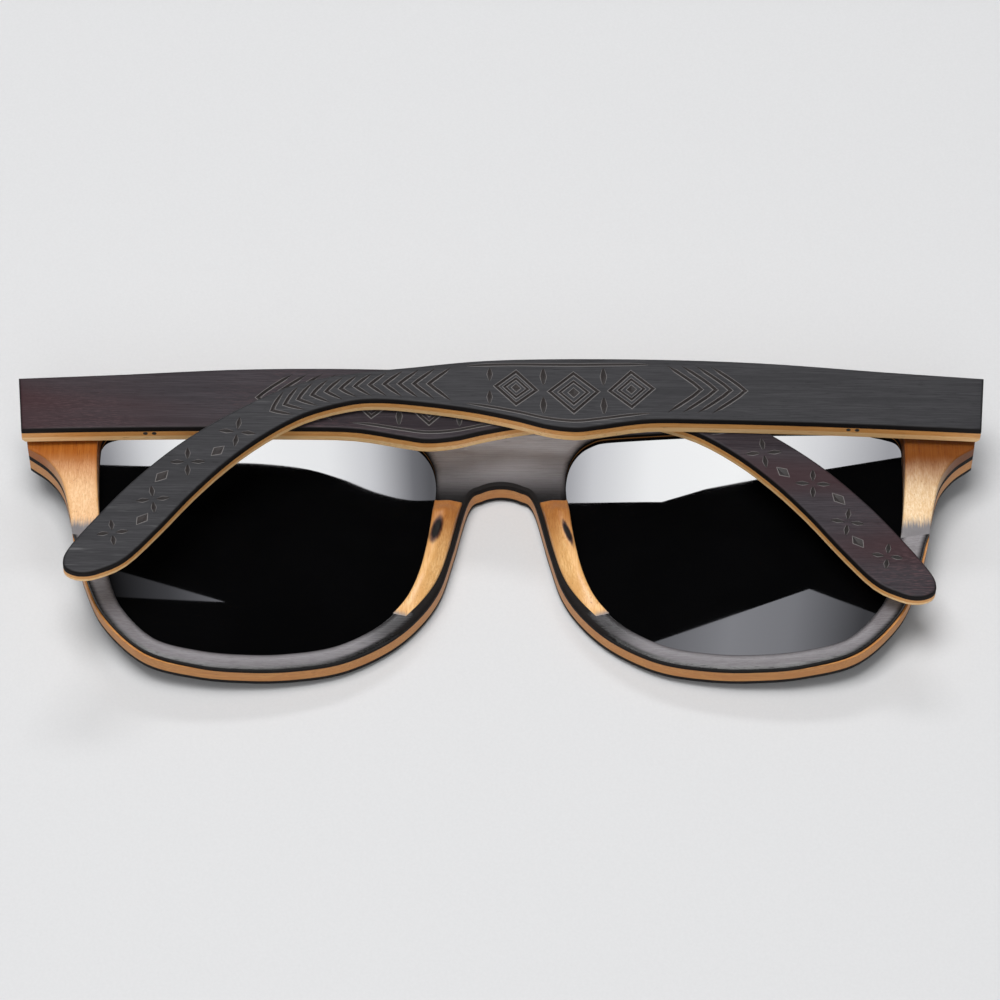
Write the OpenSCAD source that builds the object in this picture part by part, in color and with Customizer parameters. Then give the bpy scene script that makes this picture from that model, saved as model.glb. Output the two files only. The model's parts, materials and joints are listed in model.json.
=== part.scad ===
// Laminated wooden sunglasses, folded and lying face down: +X is the wearer's right,
// +Y points to the brow and +Z is the back of the glasses. Millimetres.

/* [Front] */
// Width of the front over both end pieces
front_w = 145.2; // [138:0.2:160]
// Width of a lens opening
lens_w = 50.4; // [46:0.2:52]
// Height of a lens opening
lens_h = 41.6; // [36:0.2:46]
// Gap between the two lens openings
bridge_w = 19.6; // [17:0.2:22]
// Rim width under a lens
rim_w = 2.8; // [2:0.1:5]
// Rim width beside a lens, towards the temple
rim_side_w = 4.1; // [3:0.1:5]
// Rim width beside a lens, towards the nose
rim_nose_w = 3.8; // [3:0.1:4.5]
// Rim width over a lens, without the brow's arch
brow_w = 2.9; // [2.4:0.1:6]
// Rise of the brow over a lens
brow_arch = 0.9; // [0:0.1:1.2]
// Height of the bridge
bridge_h = 10.2; // [7:0.2:13]
// Radius that the front is bent to
wrap_r = 420; // [360:10:800]

/* [Plies] */
// Thickness of the dark front ply
front_ply_t = 1.0; // [0.6:0.1:1.6]
// Thickness of the light core ply
core_ply_t = 2.0; // [1.6:0.1:3]
// Thickness of the dark back ply
back_ply_t = 1.0; // [0.6:0.1:1.6]
// Thickness of a temple's dark outer ply
outer_ply_t = 1.0; // [0.6:0.1:1.6]
// Thickness of a temple's middle ply
middle_ply_t = 1.0; // [0.8:0.1:1.4]
// Thickness of a temple's inner ply
inner_ply_t = 1.0; // [0.8:0.1:1.4]

/* [Lenses] */
// Thickness of a lens
lens_t = 1.8; // [1.2:0.1:2.0]
// Depth of the lens groove in the core ply
groove_d = 0.9; // [0.5:0.1:1.4]
// Clearance round and behind a lens
lens_play = 0.05; // [0.02:0.01:0.1]

/* [Nose pads and end pieces] */
// Height of a nose pad's ridge over the back ply, at its upper end
pad_h = 3.0; // [2:0.1:5]
// Length of a nose pad
pad_l = 22; // [16:1:26]
// Height of an end piece block over the back ply, at the hinge
block_h = 2.0; // [1.6:0.1:4]
// Length of the slope that runs a block out onto the rim
block_run = 12; // [6:1:16]

/* [Temples] */
// Height of a temple at the hinge
temple_h = 9.8; // [8.4:0.2:12]
// Extra height where a temple is tallest
temple_swell = 2.8; // [0:0.2:4]
// Dip of the lower edge where a temple is tallest
temple_dip = 1.9; // [0:0.1:3]
// Distance from the hinge end to the ear bend
bend_at = 95; // [85:1:105]
// Run of the ear piece past the bend, along the temple
ear_run = 40; // [30:1:45]
// Drop of the ear piece's tip below the bend
ear_drop = 35; // [28:1:40]
// Lean of the hinge axis, which drops the open temples
panto = 6; // [2:0.5:8]
// Fold past parallel of the left temple, which lies below
left_tilt = 1.35; // [1.3:0.05:1.6]
// Fold short of parallel of the right temple, which lies above
right_tilt = 1.35; // [1.3:0.05:2.4]

/* [Hinges] */
// Height of the hinge axis over the block
axis_h = 2.0; // [1.8:0.1:2.6]
// Height of the hinge axis over a temple's inner face
axis_in = 0.85; // [0.6:0.05:0.9]
// Radius of a knuckle
knuckle_r = 0.95; // [0.8:0.05:1.05]
// Width of the slider's knuckle
slider_w = 1.8; // [1.4:0.1:2.4]
// Width of each front knuckle
ear_w = 1.4; // [1:0.1:1.8]
// Side play between knuckles
knuckle_gap = 0.1; // [0.05:0.01:0.15]
// Radius of the pivot screw
pivot_r = 0.5; // [0.4:0.05:0.6]
// Radial clearance of a running fit
fit = 0.03; // [0.02:0.01:0.06]
// Length of a spring box
box_l = 20; // [17:0.5:24]
// Width of a spring box
box_w = 3.0; // [2.4:0.1:4]
// Radius of a spring box's bore
bore_r = 0.7; // [0.6:0.02:0.75]
// Radius of the slider's rod
rod_r = 0.35; // [0.3:0.01:0.38]
// Wire diameter of a spring
wire_d = 0.2; // [0.14:0.02:0.24]
// Turns of a spring
spring_turns = 8; // [5:1:10]
// Travel of the spring hinge
flex = 1.2; // [0.6:0.1:1.5]
// Length of the hinge plate let into a block
plate_l = 7.5; // [6.5:0.1:9]
// Thickness of the hinge plate
plate_t = 0.8; // [0.5:0.1:1.1]
// Radius of the plate's wood screws
screw_r = 0.5; // [0.4:0.05:0.6]
// Distance of the brads from the hinge end of a temple
brad_at = 19.5; // [16:0.5:20]
// Radius of a brad
brad_r = 0.35; // [0.25:0.05:0.45]

/* [Hidden] */
$fn = 64;
wrap_fn = 720;
ebony = "#2b2628";
maple = "#b98a52";
steel = "#b9bcc0";

// Front: places are measured from the middle of the lens openings, then shifted to the box's middle
front_t = front_ply_t + core_ply_t + back_ply_t;
lens_x = (bridge_w + lens_w) / 2;
top_y = lens_h / 2 + brow_w;
brow_y = top_y + brow_arch;
low_y = -lens_h / 2 - rim_w;
bridge_dip = 2.4;
arch_y = top_y - bridge_dip - bridge_h;
back_r = wrap_r - front_t;

// Hinge: its axis leans by panto in the plane of the front
temple_t = outer_ply_t + middle_ply_t + inner_ply_t;
light_t = middle_ply_t + inner_ply_t;
butt_gap = 0.05;
butt_d = axis_h - butt_gap;
butt_chamfer = 0.5;
end_clear = 0.3;
hinge_x = front_w / 2 - end_clear - butt_d - temple_h / 2 * tan(panto);
butt_drop = 1.5;
butt_top = top_y - butt_drop;
butt_low = butt_top - temple_h;
hinge_y = (butt_top + butt_low) / 2;
// The block's flat top lies block_h over the back ply at the hinge
block_z = wrap_r - sqrt(back_r * back_r - hinge_x * hinge_x) + block_h;
hinge_z = block_z + axis_h;
in_z = hinge_z - axis_in;
light_z = in_z + light_t;
out_z = in_z + temple_t;

// Both tilts are given for this distance between the hinges, and follow another one
tilt_span = 139.67;
function tilted(angle) = asin(sin(angle) * tilt_span / (2 * hinge_x));

// Knuckles, and the notch that clears them
stack_w = slider_w + 2 * knuckle_gap + 2 * ear_w;
notch_play = 0.4;
notch_l = knuckle_r + notch_play;
web_w = 1.4;
tang_l = notch_l - notch_play / 2;
box_gap = 0.15;
box_x = notch_l + box_gap;
box_wall = 1.0;
rod_z = light_t / 2 - axis_in;
spring_l = 5.8;
nut_l = 1.0;
nut_r = bore_r - 2 * fit;
bore_spare = 1.4;
bore_l = spring_l + nut_l + flex + bore_spare;
nut_x = box_x + box_wall + spring_l;
rod_root = 0.1;
rod_end = 0.3;
rod_l = nut_x + nut_l + rod_end;
head_t = 0.5;
brad_pitch = 1.3;
brad_x = brad_at - butt_d;
brad_inset = 0.1;
brad_z = light_t - axis_in - brad_r - brad_inset;
screw_at = [2.6, 5.0];
// The screws end in the back ply, clear of the lens
screw_l = block_h - plate_t + 0.9 * back_ply_t;
far = 400;
cut_low = 1;
cut_h = 30;

// Box over all, which the origin stands under
temple_top = butt_low + temple_h + temple_swell;
shift_y = -(max(brow_y, temple_top) + low_y) / 2;

// Catmull-Rom curve: n points a stretch, through every given point
function bend(a, b, c, d, t) = 0.5 * (2 * b + (c - a) * t + (2 * a - 5 * b + 4 * c - d) * t * t
    + (3 * b - a - 3 * c + d) * t * t * t);
function ring_curve(p, n) = let (m = len(p)) [for (i = [0:m - 1], j = [0:n - 1])
    bend(p[(i + m - 1) % m], p[i], p[(i + 1) % m], p[(i + 2) % m], j / n)];
function line_curve(p, n) = let (m = len(p),
    q = concat([2 * p[0] - p[1]], p, [2 * p[m - 1] - p[m - 2]]))
    concat([for (i = [0:m - 2], j = [0:n - 1]) bend(q[i], q[i + 1], q[i + 2], q[i + 3], j / n)],
        [p[m - 1]]);
function left_normal(v) = [-v.y, v.x] / norm(v);
// A clockwise outline moved outwards by d
function grown(p, d) = let (m = len(p)) [for (i = [0:m - 1])
    p[i] + d * left_normal(p[(i + 1) % m] - p[(i + m - 1) % m])];
function mirrored(p) = [for (i = [len(p) - 1:-1:0]) [-p[i].x, p[i].y]];

// Right lens opening, clockwise from its upper outer corner, as shares of half its width and height
opening_shape = [[0.985, 0.795], [1, 0.615], [0.985, 0.225], [0.955, -0.09], [0.9, -0.4], [0.81, -0.67],
    [0.62, -0.905], [0.36, -0.985], [0.09, -1], [-0.16, -0.975], [-0.42, -0.9], [-0.64, -0.745],
    [-0.79, -0.56], [-0.895, -0.335], [-0.955, -0.03], [-0.99, 0.32], [-1, 0.605], [-0.955, 0.81],
    [-0.85, 0.945], [-0.67, 0.99], [0, 1], [0.7, 0.94], [0.91, 0.88]];
opening_knots = [for (p = opening_shape) [lens_x + p.x * lens_w / 2, p.y * lens_h / 2]];
opening = ring_curve(opening_knots, 4);

// Rim outside the opening, from the end piece's scallop round the bottom to the nose
rim_first = 3;
rim_last = 14;
function rim_width(i) = let (low = 8) i < low
    ? rim_w + (rim_side_w - rim_w) * pow((low - i) / (low - rim_first), 2)
    : rim_w + (rim_nose_w - rim_w) * pow((i - low) / (rim_last - low), 2);
rim_knots = [for (i = [rim_first:rim_last])
    opening_knots[i] + rim_width(i) * left_normal(opening_knots[i + 1] - opening_knots[i - 1])];
end_cut = 2;
end_step = 0.2;
scallop_step = 2.2;
scallop_turn = 5.4;
scallop_end = 10.4;
scallop_in = 0.4;
scallop_out = 1;
end_low = [front_w / 2 - end_cut, butt_low - end_step];
scallop_x = lens_x + lens_w / 2 + rim_side_w;
scallop = [end_low, [(end_low.x + scallop_x + end_step) / 2, end_low.y - scallop_step],
    [scallop_x + scallop_out, end_low.y - scallop_turn], [scallop_x - scallop_in, end_low.y - scallop_end]];
arch = [[bridge_w / 4, arch_y - bridge_w / 7], [bridge_w / 7, arch_y - bridge_w / 28], [0, arch_y]];
brow_rise = 0.4;
brow_in = 6;
brow_out = 10;
corner_drop = 3;
corner_in = 1.6;
corner_ease = 0.9;
end_top = [front_w / 2, top_y - corner_drop];
brow = [[0, top_y - bridge_dip], [bridge_w / 2, top_y - bridge_dip + brow_rise],
    [lens_x - brow_in, brow_y], [lens_x + brow_out, brow_y], [front_w / 2 - brow_in, top_y],
    [front_w / 2 - corner_in, top_y - corner_ease], end_top];
half_outline = concat(line_curve(brow, 4), line_curve(concat(scallop, rim_knots, arch), 4));
outline = concat(half_outline, mirrored([for (i = [1:len(half_outline) - 2]) half_outline[i]]));

// Space between two radii of the bent front
module bent(outer, inner) {
    translate([0, 0, wrap_r])
        rotate([90, 0, 0])
            difference() {
                cylinder(r = outer, h = far, center = true, $fn = wrap_fn);
                if (inner > 0) cylinder(r = inner, h = far + 2, center = true, $fn = wrap_fn);
            }
}

module front_place() {
    translate([0, shift_y, 0]) children();
}

module raised(outline_2d, extra = 0) {
    translate([0, 0, -cut_low - extra]) linear_extrude(cut_h + 2 * extra) polygon(outline_2d);
}

// One ply of the front, from one depth to another, with its openings grown
module ply(from, to, extra) {
    front_place()
        intersection() {
            difference() {
                raised(outline);
                raised(grown(opening, extra), cut_low);
                mirror([1, 0, 0]) raised(grown(opening, extra), cut_low);
            }
            bent(wrap_r - from, wrap_r - to);
        }
}

module front_ply() {
    color(ebony) ply(0, front_ply_t, 0);
}

module core_ply() {
    color(maple) ply(front_ply_t, front_ply_t + core_ply_t, groove_d);
}

module back_ply() {
    color(ebony)
        difference() {
            ply(front_ply_t + core_ply_t, front_t, 0);
            both_sides() plate_screw_holes();
        }
}

module both_sides() {
    children();
    mirror([1, 0, 0]) children();
}

// Right lens in the core ply's groove
module lens() {
    middle = wrap_r - front_ply_t - core_ply_t / 2;
    half = min(lens_t, core_ply_t - 2 * lens_play) / 2;
    front_place()
        intersection() {
            raised(grown(opening, groove_d - lens_play));
            bent(middle + half, middle - half);
        }
}

module right_lens() {
    color("#141518") lens();
}

module left_lens() {
    color("#141518") mirror([1, 0, 0]) lens();
}

// Right nose pad: a roof that sinks into the rim at its lower end
pad_under = 4;
pad_top_y = arch_y - pad_under;
pad_lean = 20;
pad_end_h = 0.9;
pad_slope = atan((pad_h - pad_end_h) / pad_l);
pad_shift = 0.6;
pad_x = 3 * bridge_w / 8 + pad_shift;
pad_z = wrap_r - sqrt(back_r * back_r - pad_x * pad_x) + pad_h;
pad_half = 5;
pad_deep = 8;
pad_fall_in = 1.7;
pad_fall_out = 1;
pad_roof = [[0, 0], [-pad_half, -pad_fall_in], [-pad_half, -pad_deep], [pad_half, -pad_deep],
    [pad_half, -pad_fall_out]];

module nose_pad() {
    front_place()
        intersection() {
            difference() {
                raised(outline);
                raised(opening, cut_low);
            }
            bent(back_r, 0);
            translate([0, pad_top_y - pad_l - pad_under, 0]) cube([lens_x, pad_l + pad_under, cut_h]);
            translate([pad_x, pad_top_y, pad_z])
                rotate([0, 0, pad_lean])
                    rotate([90 + pad_slope, 0, 0])
                        translate([0, 0, -pad_under]) linear_extrude(pad_l + pad_under) polygon(pad_roof);
        }
}

module right_nose_pad() {
    color(maple) nose_pad();
}

module left_nose_pad() {
    color(maple) mirror([1, 0, 0]) nose_pad();
}

// Left hinge's own frame: Y along the axis, X towards the folded temple
module at_left_hinge() {
    translate([-hinge_x, hinge_y + shift_y, hinge_z]) rotate([0, 0, panto]) children();
}

// End piece block of the left side, flat under the hinge and run out onto the rim
block_lap = 3;
block_below = 2.4;
block_in = front_w / 2 - lens_x - lens_w / 2 + block_lap;
slope_y = butt_low - block_below;
run_out_z = wrap_r - sqrt(back_r * back_r - pow(lens_x + lens_w / 2, 2));
// The slope's fall at a third, at two thirds and at its end
slope_fall = block_z - run_out_z;
block_side = line_curve([[slope_y, block_z], [slope_y - block_run / 3, block_z - 0.25 * slope_fall],
    [slope_y - 2 * block_run / 3, block_z - 0.68 * slope_fall], [slope_y - block_run, run_out_z - 0.1]], 3);

module left_end_block() {
    color(maple)
        difference() {
            front_place()
                intersection() {
                    difference() {
                        raised(outline);
                        mirror([1, 0, 0]) raised(opening, cut_low);
                    }
                    bent(back_r, 0);
                    translate([-front_w / 2, 0, 0])
                        rotate([90, 0, 90])
                            linear_extrude(block_in)
                                polygon(concat([[top_y + 1, 0], [top_y + 1, block_z]], block_side,
                                    [[slope_y - block_run, 0]]));
                }
            plate_pocket();
            plate_screw_holes();
        }
}

module right_end_block() {
    mirror([1, 0, 0]) left_end_block();
}

module plate_pocket() {
    at_left_hinge()
        translate([-web_w / 2, -stack_w / 2, -axis_h - plate_t]) cube([plate_l, stack_w, plate_t + 1]);
}

module plate_screw_holes() {
    at_left_hinge()
        for (x = screw_at)
            translate([x, 0, -axis_h - plate_t - screw_l]) cylinder(r = screw_r, h = screw_l + plate_t);
}

// Left hinge plate, flush in the block, with two knuckles
module left_hinge_plate() {
    color(steel)
        at_left_hinge()
            difference() {
                union() {
                    translate([-web_w / 2, -stack_w / 2, -axis_h - plate_t])
                        cube([plate_l, stack_w, plate_t]);
                    for (side = [-1, 1])
                        translate([0, side * (stack_w - ear_w) / 2, 0]) {
                            rotate([90, 0, 0]) cylinder(r = knuckle_r, h = ear_w, center = true);
                            translate([-web_w / 2, -ear_w / 2, -axis_h]) cube([web_w, ear_w, axis_h]);
                        }
                }
                rotate([90, 0, 0]) cylinder(r = pivot_r, h = stack_w + 2, center = true);
                for (x = screw_at)
                    translate([x, 0, -axis_h - plate_t - 1]) cylinder(r = screw_r, h = plate_t + 2);
            }
}

module right_hinge_plate() {
    mirror([1, 0, 0]) left_hinge_plate();
}

module left_plate_screws() {
    color(steel)
        at_left_hinge()
            for (x = screw_at)
                translate([x, 0, -axis_h]) {
                    translate([0, 0, -plate_t - screw_l]) cylinder(r = screw_r, h = screw_l + plate_t);
                    difference() {
                        cylinder(r1 = 2 * screw_r, r2 = 1.6 * screw_r, h = head_t / 2);
                        translate([0, 0, head_t / 2]) cube([4 * screw_r, 0.2, head_t / 4], center = true);
                    }
                }
}

module right_plate_screws() {
    mirror([1, 0, 0]) left_plate_screws();
}

// Left pivot screw: slotted head at the brow end of the knuckles
module left_pivot_screw() {
    color(steel)
        at_left_hinge()
            difference() {
                union() {
                    rotate([90, 0, 0]) cylinder(r = pivot_r, h = stack_w, center = true);
                    translate([0, stack_w / 2, 0])
                        rotate([-90, 0, 0]) cylinder(r = knuckle_r - 0.1, h = head_t / 2);
                }
                translate([0, stack_w / 2 + head_t / 2, 0])
                    cube([2 * knuckle_r, head_t / 3, head_t / 2], center = true);
            }
}

module right_pivot_screw() {
    mirror([1, 0, 0]) left_pivot_screw();
}

// Left temple and slider, folded parallel to the front and then turned about the hinge axis
module folded(tilt) {
    at_left_hinge() rotate([0, tilt, 0]) rotate([0, 0, -panto]) children();
}

module left_side() {
    folded(tilted(left_tilt)) children();
}

module right_side() {
    mirror([1, 0, 0]) folded(-tilted(right_tilt)) children();
}

// Left temple's outline about its hinge: along the upper edge, round the tip and back
function butt_x(y) = -butt_d / cos(panto) - (y - hinge_y) * tan(panto);
function on_bar(share, y) = [butt_x(hinge_y) + share * bend_at, y - hinge_y];
function on_ear(share, drop) = [butt_x(hinge_y) + bend_at + share * ear_run,
    neck_y + drop * ear_drop - hinge_y];
neck_y = butt_low + 6.6;
swell_y = butt_top + temple_swell;
upper_edge = [[butt_x(butt_top), butt_top - hinge_y], on_bar(0.15, butt_top + 0.36 * temple_swell),
    on_bar(0.35, butt_top + 0.86 * temple_swell), on_bar(0.55, swell_y),
    on_bar(0.76, butt_top + 0.8 * temple_swell), on_bar(0.9, butt_top + 0.2 * temple_swell)];
ear_upper = [on_ear(0, 0.065), on_ear(0.2, 0), on_ear(0.4, -0.135), on_ear(0.6, -0.315), on_ear(0.775, -0.53),
    on_ear(0.91, -0.74), on_ear(0.985, -0.875)];
ear_tip = [on_ear(1, -0.94), on_ear(0.985, -0.98), on_ear(0.935, -1), on_ear(0.87, -0.985)];
ear_lower = [on_ear(0.775, -0.92), on_ear(0.665, -0.765), on_ear(0.545, -0.575), on_ear(0.42, -0.405),
    on_ear(0.29, -0.265), on_ear(0.15, -0.155), on_ear(0, -0.09)];
lower_edge = [on_bar(0.955, butt_low + 4.1), on_bar(0.895, butt_low + 3.8), on_bar(0.805, butt_low + 2.6),
    on_bar(0.735, butt_low + 1.1), on_bar(0.685, butt_low + 0.95 - 0.65 * temple_dip),
    on_bar(0.64, butt_low + 1.1 - temple_dip), on_bar(0.6, butt_low + 1 - 0.65 * temple_dip),
    on_bar(0.525, butt_low + 1), on_bar(0.43, butt_low + 1.1), on_bar(0.28, butt_low + 0.9),
    on_bar(0.14, butt_low + 0.5), [butt_x(butt_low), butt_low - hinge_y]];
temple_outline = line_curve(concat(upper_edge, ear_upper, ear_tip, ear_lower, lower_edge), 3);

module temple_ply(z0, z1) {
    translate([0, 0, z0 - hinge_z]) linear_extrude(z1 - z0) polygon(temple_outline);
}

// Room for the knuckles, the spring box and the brads in the light plies
module hinge_notch() {
    rotate([0, 0, panto])
        translate([-butt_d - 2, -stack_w / 2 - notch_play, -axis_in - 1])
            cube([butt_d + 2 + notch_l, stack_w + 2 * notch_play, light_t + 1]);
}

module box_pocket() {
    translate([0, -box_w / 2, -axis_in - 1]) cube([box_x + box_l, box_w, light_t + 1]);
}

// The inner edge of the hinge end is chamfered, or it would dig into the block
module butt_bevel() {
    rotate([0, 0, panto])
        translate([-butt_d, 0, -axis_in])
            rotate([90, 0, 0])
                linear_extrude(far, center = true)
                    polygon([[-1, -1], [butt_chamfer + 1, -1], [-1, butt_chamfer + 1]]);
}

module light_ply(z0, z1) {
    difference() {
        temple_ply(z0, z1);
        hinge_notch();
        box_pocket();
        butt_bevel();
        brad_channel();
    }
}

// The brads' heads are flush with the lower edge, so their channel runs out through it
module brad_channel() {
    for (side = [-1, 1])
        translate([brad_x + side * brad_pitch / 2, butt_low - hinge_y - 4, brad_z])
            rotate([-90, 0, 0]) cylinder(r = brad_r, h = hinge_y - butt_low + 4);
}

module outer_ply() {
    temple_ply(light_z, out_z);
}

module middle_ply() {
    light_ply(in_z + inner_ply_t, light_z);
}

module inner_ply() {
    light_ply(in_z, in_z + inner_ply_t);
}

module left_outer_ply() {
    color(ebony) left_side() outer_ply();
}

module right_outer_ply() {
    color(ebony) right_side() outer_ply();
}

module left_middle_ply() {
    color(maple) left_side() middle_ply();
}

module right_middle_ply() {
    color(maple) right_side() middle_ply();
}

module left_inner_ply() {
    color(maple) left_side() inner_ply();
}

module right_inner_ply() {
    color(maple) right_side() inner_ply();
}

// Brads that pin the spring box, driven in from the lower edge
module brads() {
    intersection() {
        brad_channel();
        temple_ply(in_z, light_z);
    }
}

module left_box_brads() {
    color(steel) left_side() brads();
}

module right_box_brads() {
    color(steel) right_side() brads();
}

// Spring box, flush with the inner face, bored from its far end
module spring_box() {
    difference() {
        translate([box_x, -box_w / 2, -axis_in]) cube([box_l, box_w, light_t]);
        translate([box_x - 1, 0, rod_z]) rotate([0, 90, 0]) cylinder(r = rod_r + fit, h = box_wall + 2);
        translate([box_x + box_wall, 0, rod_z]) rotate([0, 90, 0]) cylinder(r = bore_r, h = bore_l);
        brad_channel();
    }
}

module left_spring_box() {
    color(steel) left_side() spring_box();
}

module right_spring_box() {
    color(steel) right_side() spring_box();
}

// Slider: a knuckle on the pivot screw, a tang and the rod that the spring pulls
module slider() {
    difference() {
        union() {
            rotate([0, 0, panto]) rotate([90, 0, 0]) cylinder(r = knuckle_r, h = slider_w, center = true);
            intersection() {
                translate([0, -slider_w, rod_z - bore_r]) cube([tang_l, 2 * slider_w, 2 * bore_r]);
                rotate([0, 0, panto]) cube([far, slider_w, far], center = true);
            }
            translate([tang_l - rod_root, 0, rod_z])
                rotate([0, 90, 0]) cylinder(r = rod_r, h = rod_l - tang_l + rod_root);
        }
        rotate([0, 0, panto]) rotate([90, 0, 0]) cylinder(r = pivot_r + fit, h = far, center = true);
    }
}

module left_slider() {
    color(steel) left_side() slider();
}

module right_slider() {
    color(steel) right_side() slider();
}

module spring_nut() {
    translate([nut_x, 0, rod_z])
        rotate([0, 90, 0])
            difference() {
                cylinder(r = nut_r, h = nut_l);
                translate([0, 0, -1]) cylinder(r = rod_r, h = nut_l + 2);
            }
}

module left_spring_nut() {
    color(steel) left_side() spring_nut();
}

module right_spring_nut() {
    color(steel) right_side() spring_nut();
}

// Coil spring round the rod: a swept tube of six sides
coil_r = (bore_r + rod_r) / 2;
coil_steps = 8;
coil_end = 0.04;
coil_run = spring_l - wire_d - 2 * coil_end;
coil_rings = spring_turns * coil_steps;
function coil_point(k, side) = let (a = 360 * k / coil_steps, b = 60 * side, r = coil_r + wire_d / 2 * cos(b))
    [coil_run * k / coil_rings + wire_d / 2 * sin(b), r * cos(a), r * sin(a)];

module spring() {
    points = [for (k = [0:coil_rings], side = [0:5]) coil_point(k, side)];
    walls = [for (k = [0:coil_rings - 1], side = [0:5]) let (a = 6 * k + side, b = 6 * k + (side + 1) % 6)
        each [[a, a + 6, b], [b, a + 6, b + 6]]];
    last = 6 * coil_rings;
    caps = [for (side = [1:4]) each [[0, side, side + 1], [last, last + side + 1, last + side]]];
    translate([box_x + box_wall + coil_end + wire_d / 2, 0, rod_z]) polyhedron(points, concat(walls, caps));
}

module left_spring() {
    color(steel) left_side() spring();
}

module right_spring() {
    color(steel) right_side() spring();
}

front_ply();
core_ply();
back_ply();
left_lens();
right_lens();
left_nose_pad();
right_nose_pad();
left_end_block();
right_end_block();
left_hinge_plate();
right_hinge_plate();
left_plate_screws();
right_plate_screws();
left_pivot_screw();
right_pivot_screw();
left_slider();
right_slider();
left_spring_nut();
right_spring_nut();
left_spring();
right_spring();
left_spring_box();
right_spring_box();
left_box_brads();
right_box_brads();
left_outer_ply();
right_outer_ply();
left_middle_ply();
right_middle_ply();
left_inner_ply();
right_inner_ply();
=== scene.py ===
import json
import math

import bmesh
import bpy
from mathutils import Matrix, Vector
from mathutils.geometry import delaunay_2d_cdt, intersect_point_line

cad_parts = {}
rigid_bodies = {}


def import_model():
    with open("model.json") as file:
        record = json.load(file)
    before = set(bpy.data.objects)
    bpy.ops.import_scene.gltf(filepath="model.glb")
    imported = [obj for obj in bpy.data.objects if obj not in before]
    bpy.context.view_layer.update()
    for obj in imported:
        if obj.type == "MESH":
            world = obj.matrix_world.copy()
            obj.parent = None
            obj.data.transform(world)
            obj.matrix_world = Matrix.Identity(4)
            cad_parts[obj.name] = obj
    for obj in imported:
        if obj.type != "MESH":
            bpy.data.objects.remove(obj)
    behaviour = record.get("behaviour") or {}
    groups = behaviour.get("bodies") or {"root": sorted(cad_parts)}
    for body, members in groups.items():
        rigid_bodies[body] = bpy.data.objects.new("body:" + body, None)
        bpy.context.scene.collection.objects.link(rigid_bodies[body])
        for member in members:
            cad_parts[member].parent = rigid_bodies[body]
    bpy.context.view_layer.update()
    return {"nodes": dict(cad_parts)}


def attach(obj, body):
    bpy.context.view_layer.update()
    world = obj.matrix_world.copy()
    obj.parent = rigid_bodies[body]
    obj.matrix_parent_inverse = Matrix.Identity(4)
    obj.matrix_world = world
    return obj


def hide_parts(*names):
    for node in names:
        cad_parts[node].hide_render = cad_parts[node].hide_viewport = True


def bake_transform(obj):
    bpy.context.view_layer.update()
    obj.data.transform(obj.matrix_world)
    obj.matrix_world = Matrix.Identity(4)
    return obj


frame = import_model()

# Shapes are worked out in millimetres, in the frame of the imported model, and stored in metres.
MM = 0.001

# Sizes repeated from the part's source
FRONT_W, LENS_W, LENS_H, BRIDGE_W = 145.2, 50.4, 41.6, 19.6
RIM_W, RIM_SIDE_W, RIM_NOSE_W, BROW_W, BROW_ARCH, BRIDGE_H = 2.8, 4.1, 3.8, 2.9, 0.9, 10.2
WRAP_R, FRONT_T, FRONT_PLY_T, CORE_PLY_T, GROOVE_D = 420.0, 4.0, 1.0, 2.0, 0.9
BEND_AT, EAR_RUN, EAR_DROP, TEMPLE_H, SWELL, DIP = 95.0, 40.0, 35.0, 9.8, 2.8, 1.9
PANTO, TILT = math.radians(6), math.radians(1.35)
HINGE = Vector((69.835, 16.6, 13.9036))
BUTT_D, OUTER_LOW, OUTER_HIGH = 1.95, 1.15, 2.15
BLOCK_Z = 11.9036
SHIFT_Y, BRIDGE_DROP, BUTT_DROP = -0.7, 2.4, 1.5
LENS_X = (BRIDGE_W + LENS_W) / 2
TOP_Y = LENS_H / 2 + BROW_W
BROW_Y = TOP_Y + BROW_ARCH
ARCH_Y = TOP_Y - BRIDGE_DROP - BRIDGE_H
BUTT_LOW = TOP_Y - BUTT_DROP - TEMPLE_H
SIDES = (("left", -1), ("right", 1))


# Curves and outlines

def V(x, y):
    return Vector((x, y))


def catmull(a, b, c, d, t):
    return 0.5 * (2 * b + (c - a) * t + (2 * a - 5 * b + 4 * c - d) * t ** 2
                  + (3 * b - a - 3 * c + d) * t ** 3)


def ring_curve(p, n):
    m = len(p)
    return [catmull(p[i - 1], p[i], p[(i + 1) % m], p[(i + 2) % m], j / n)
            for i in range(m) for j in range(n)]


def line_curve(p, n, before=None, after=None):
    q = [before or 2 * p[0] - p[1]] + p + [after or 2 * p[-1] - p[-2]]
    return [catmull(*q[i:i + 4], j / n) for i in range(len(p) - 1) for j in range(n)] + [p[-1]]


def at_x(curve, x):
    for a, b in zip(curve, curve[1:]):
        if a.x <= x <= b.x:
            return a + (b - a) * ((x - a.x) / (b.x - a.x))
    return curve[-1]


def left_normal(v):
    return V(-v.y, v.x).normalized()


def inset_normals(loop, inward):
    """Unit vectors into the solid at each point of a closed loop, longer at a corner."""
    m = len(loop)
    out = []
    for i in range(m):
        a = left_normal(loop[i] - loop[i - 1])
        b = left_normal(loop[(i + 1) % m] - loop[i])
        n = (a + b).normalized()
        out.append(n * inward / max(0.5, n.dot(a)))
    return out


def around(loop):
    return zip(loop, loop[1:] + loop[:1])


def area(loop):
    return sum(a.cross(b) for a, b in around(loop)) / 2


def inside(p, loop):
    hit = False
    for a, b in around(loop):
        if (a.y > p.y) != (b.y > p.y) and p.x < a.x + (p.y - a.y) * (b.x - a.x) / (b.y - a.y):
            hit = not hit
    return hit


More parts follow.
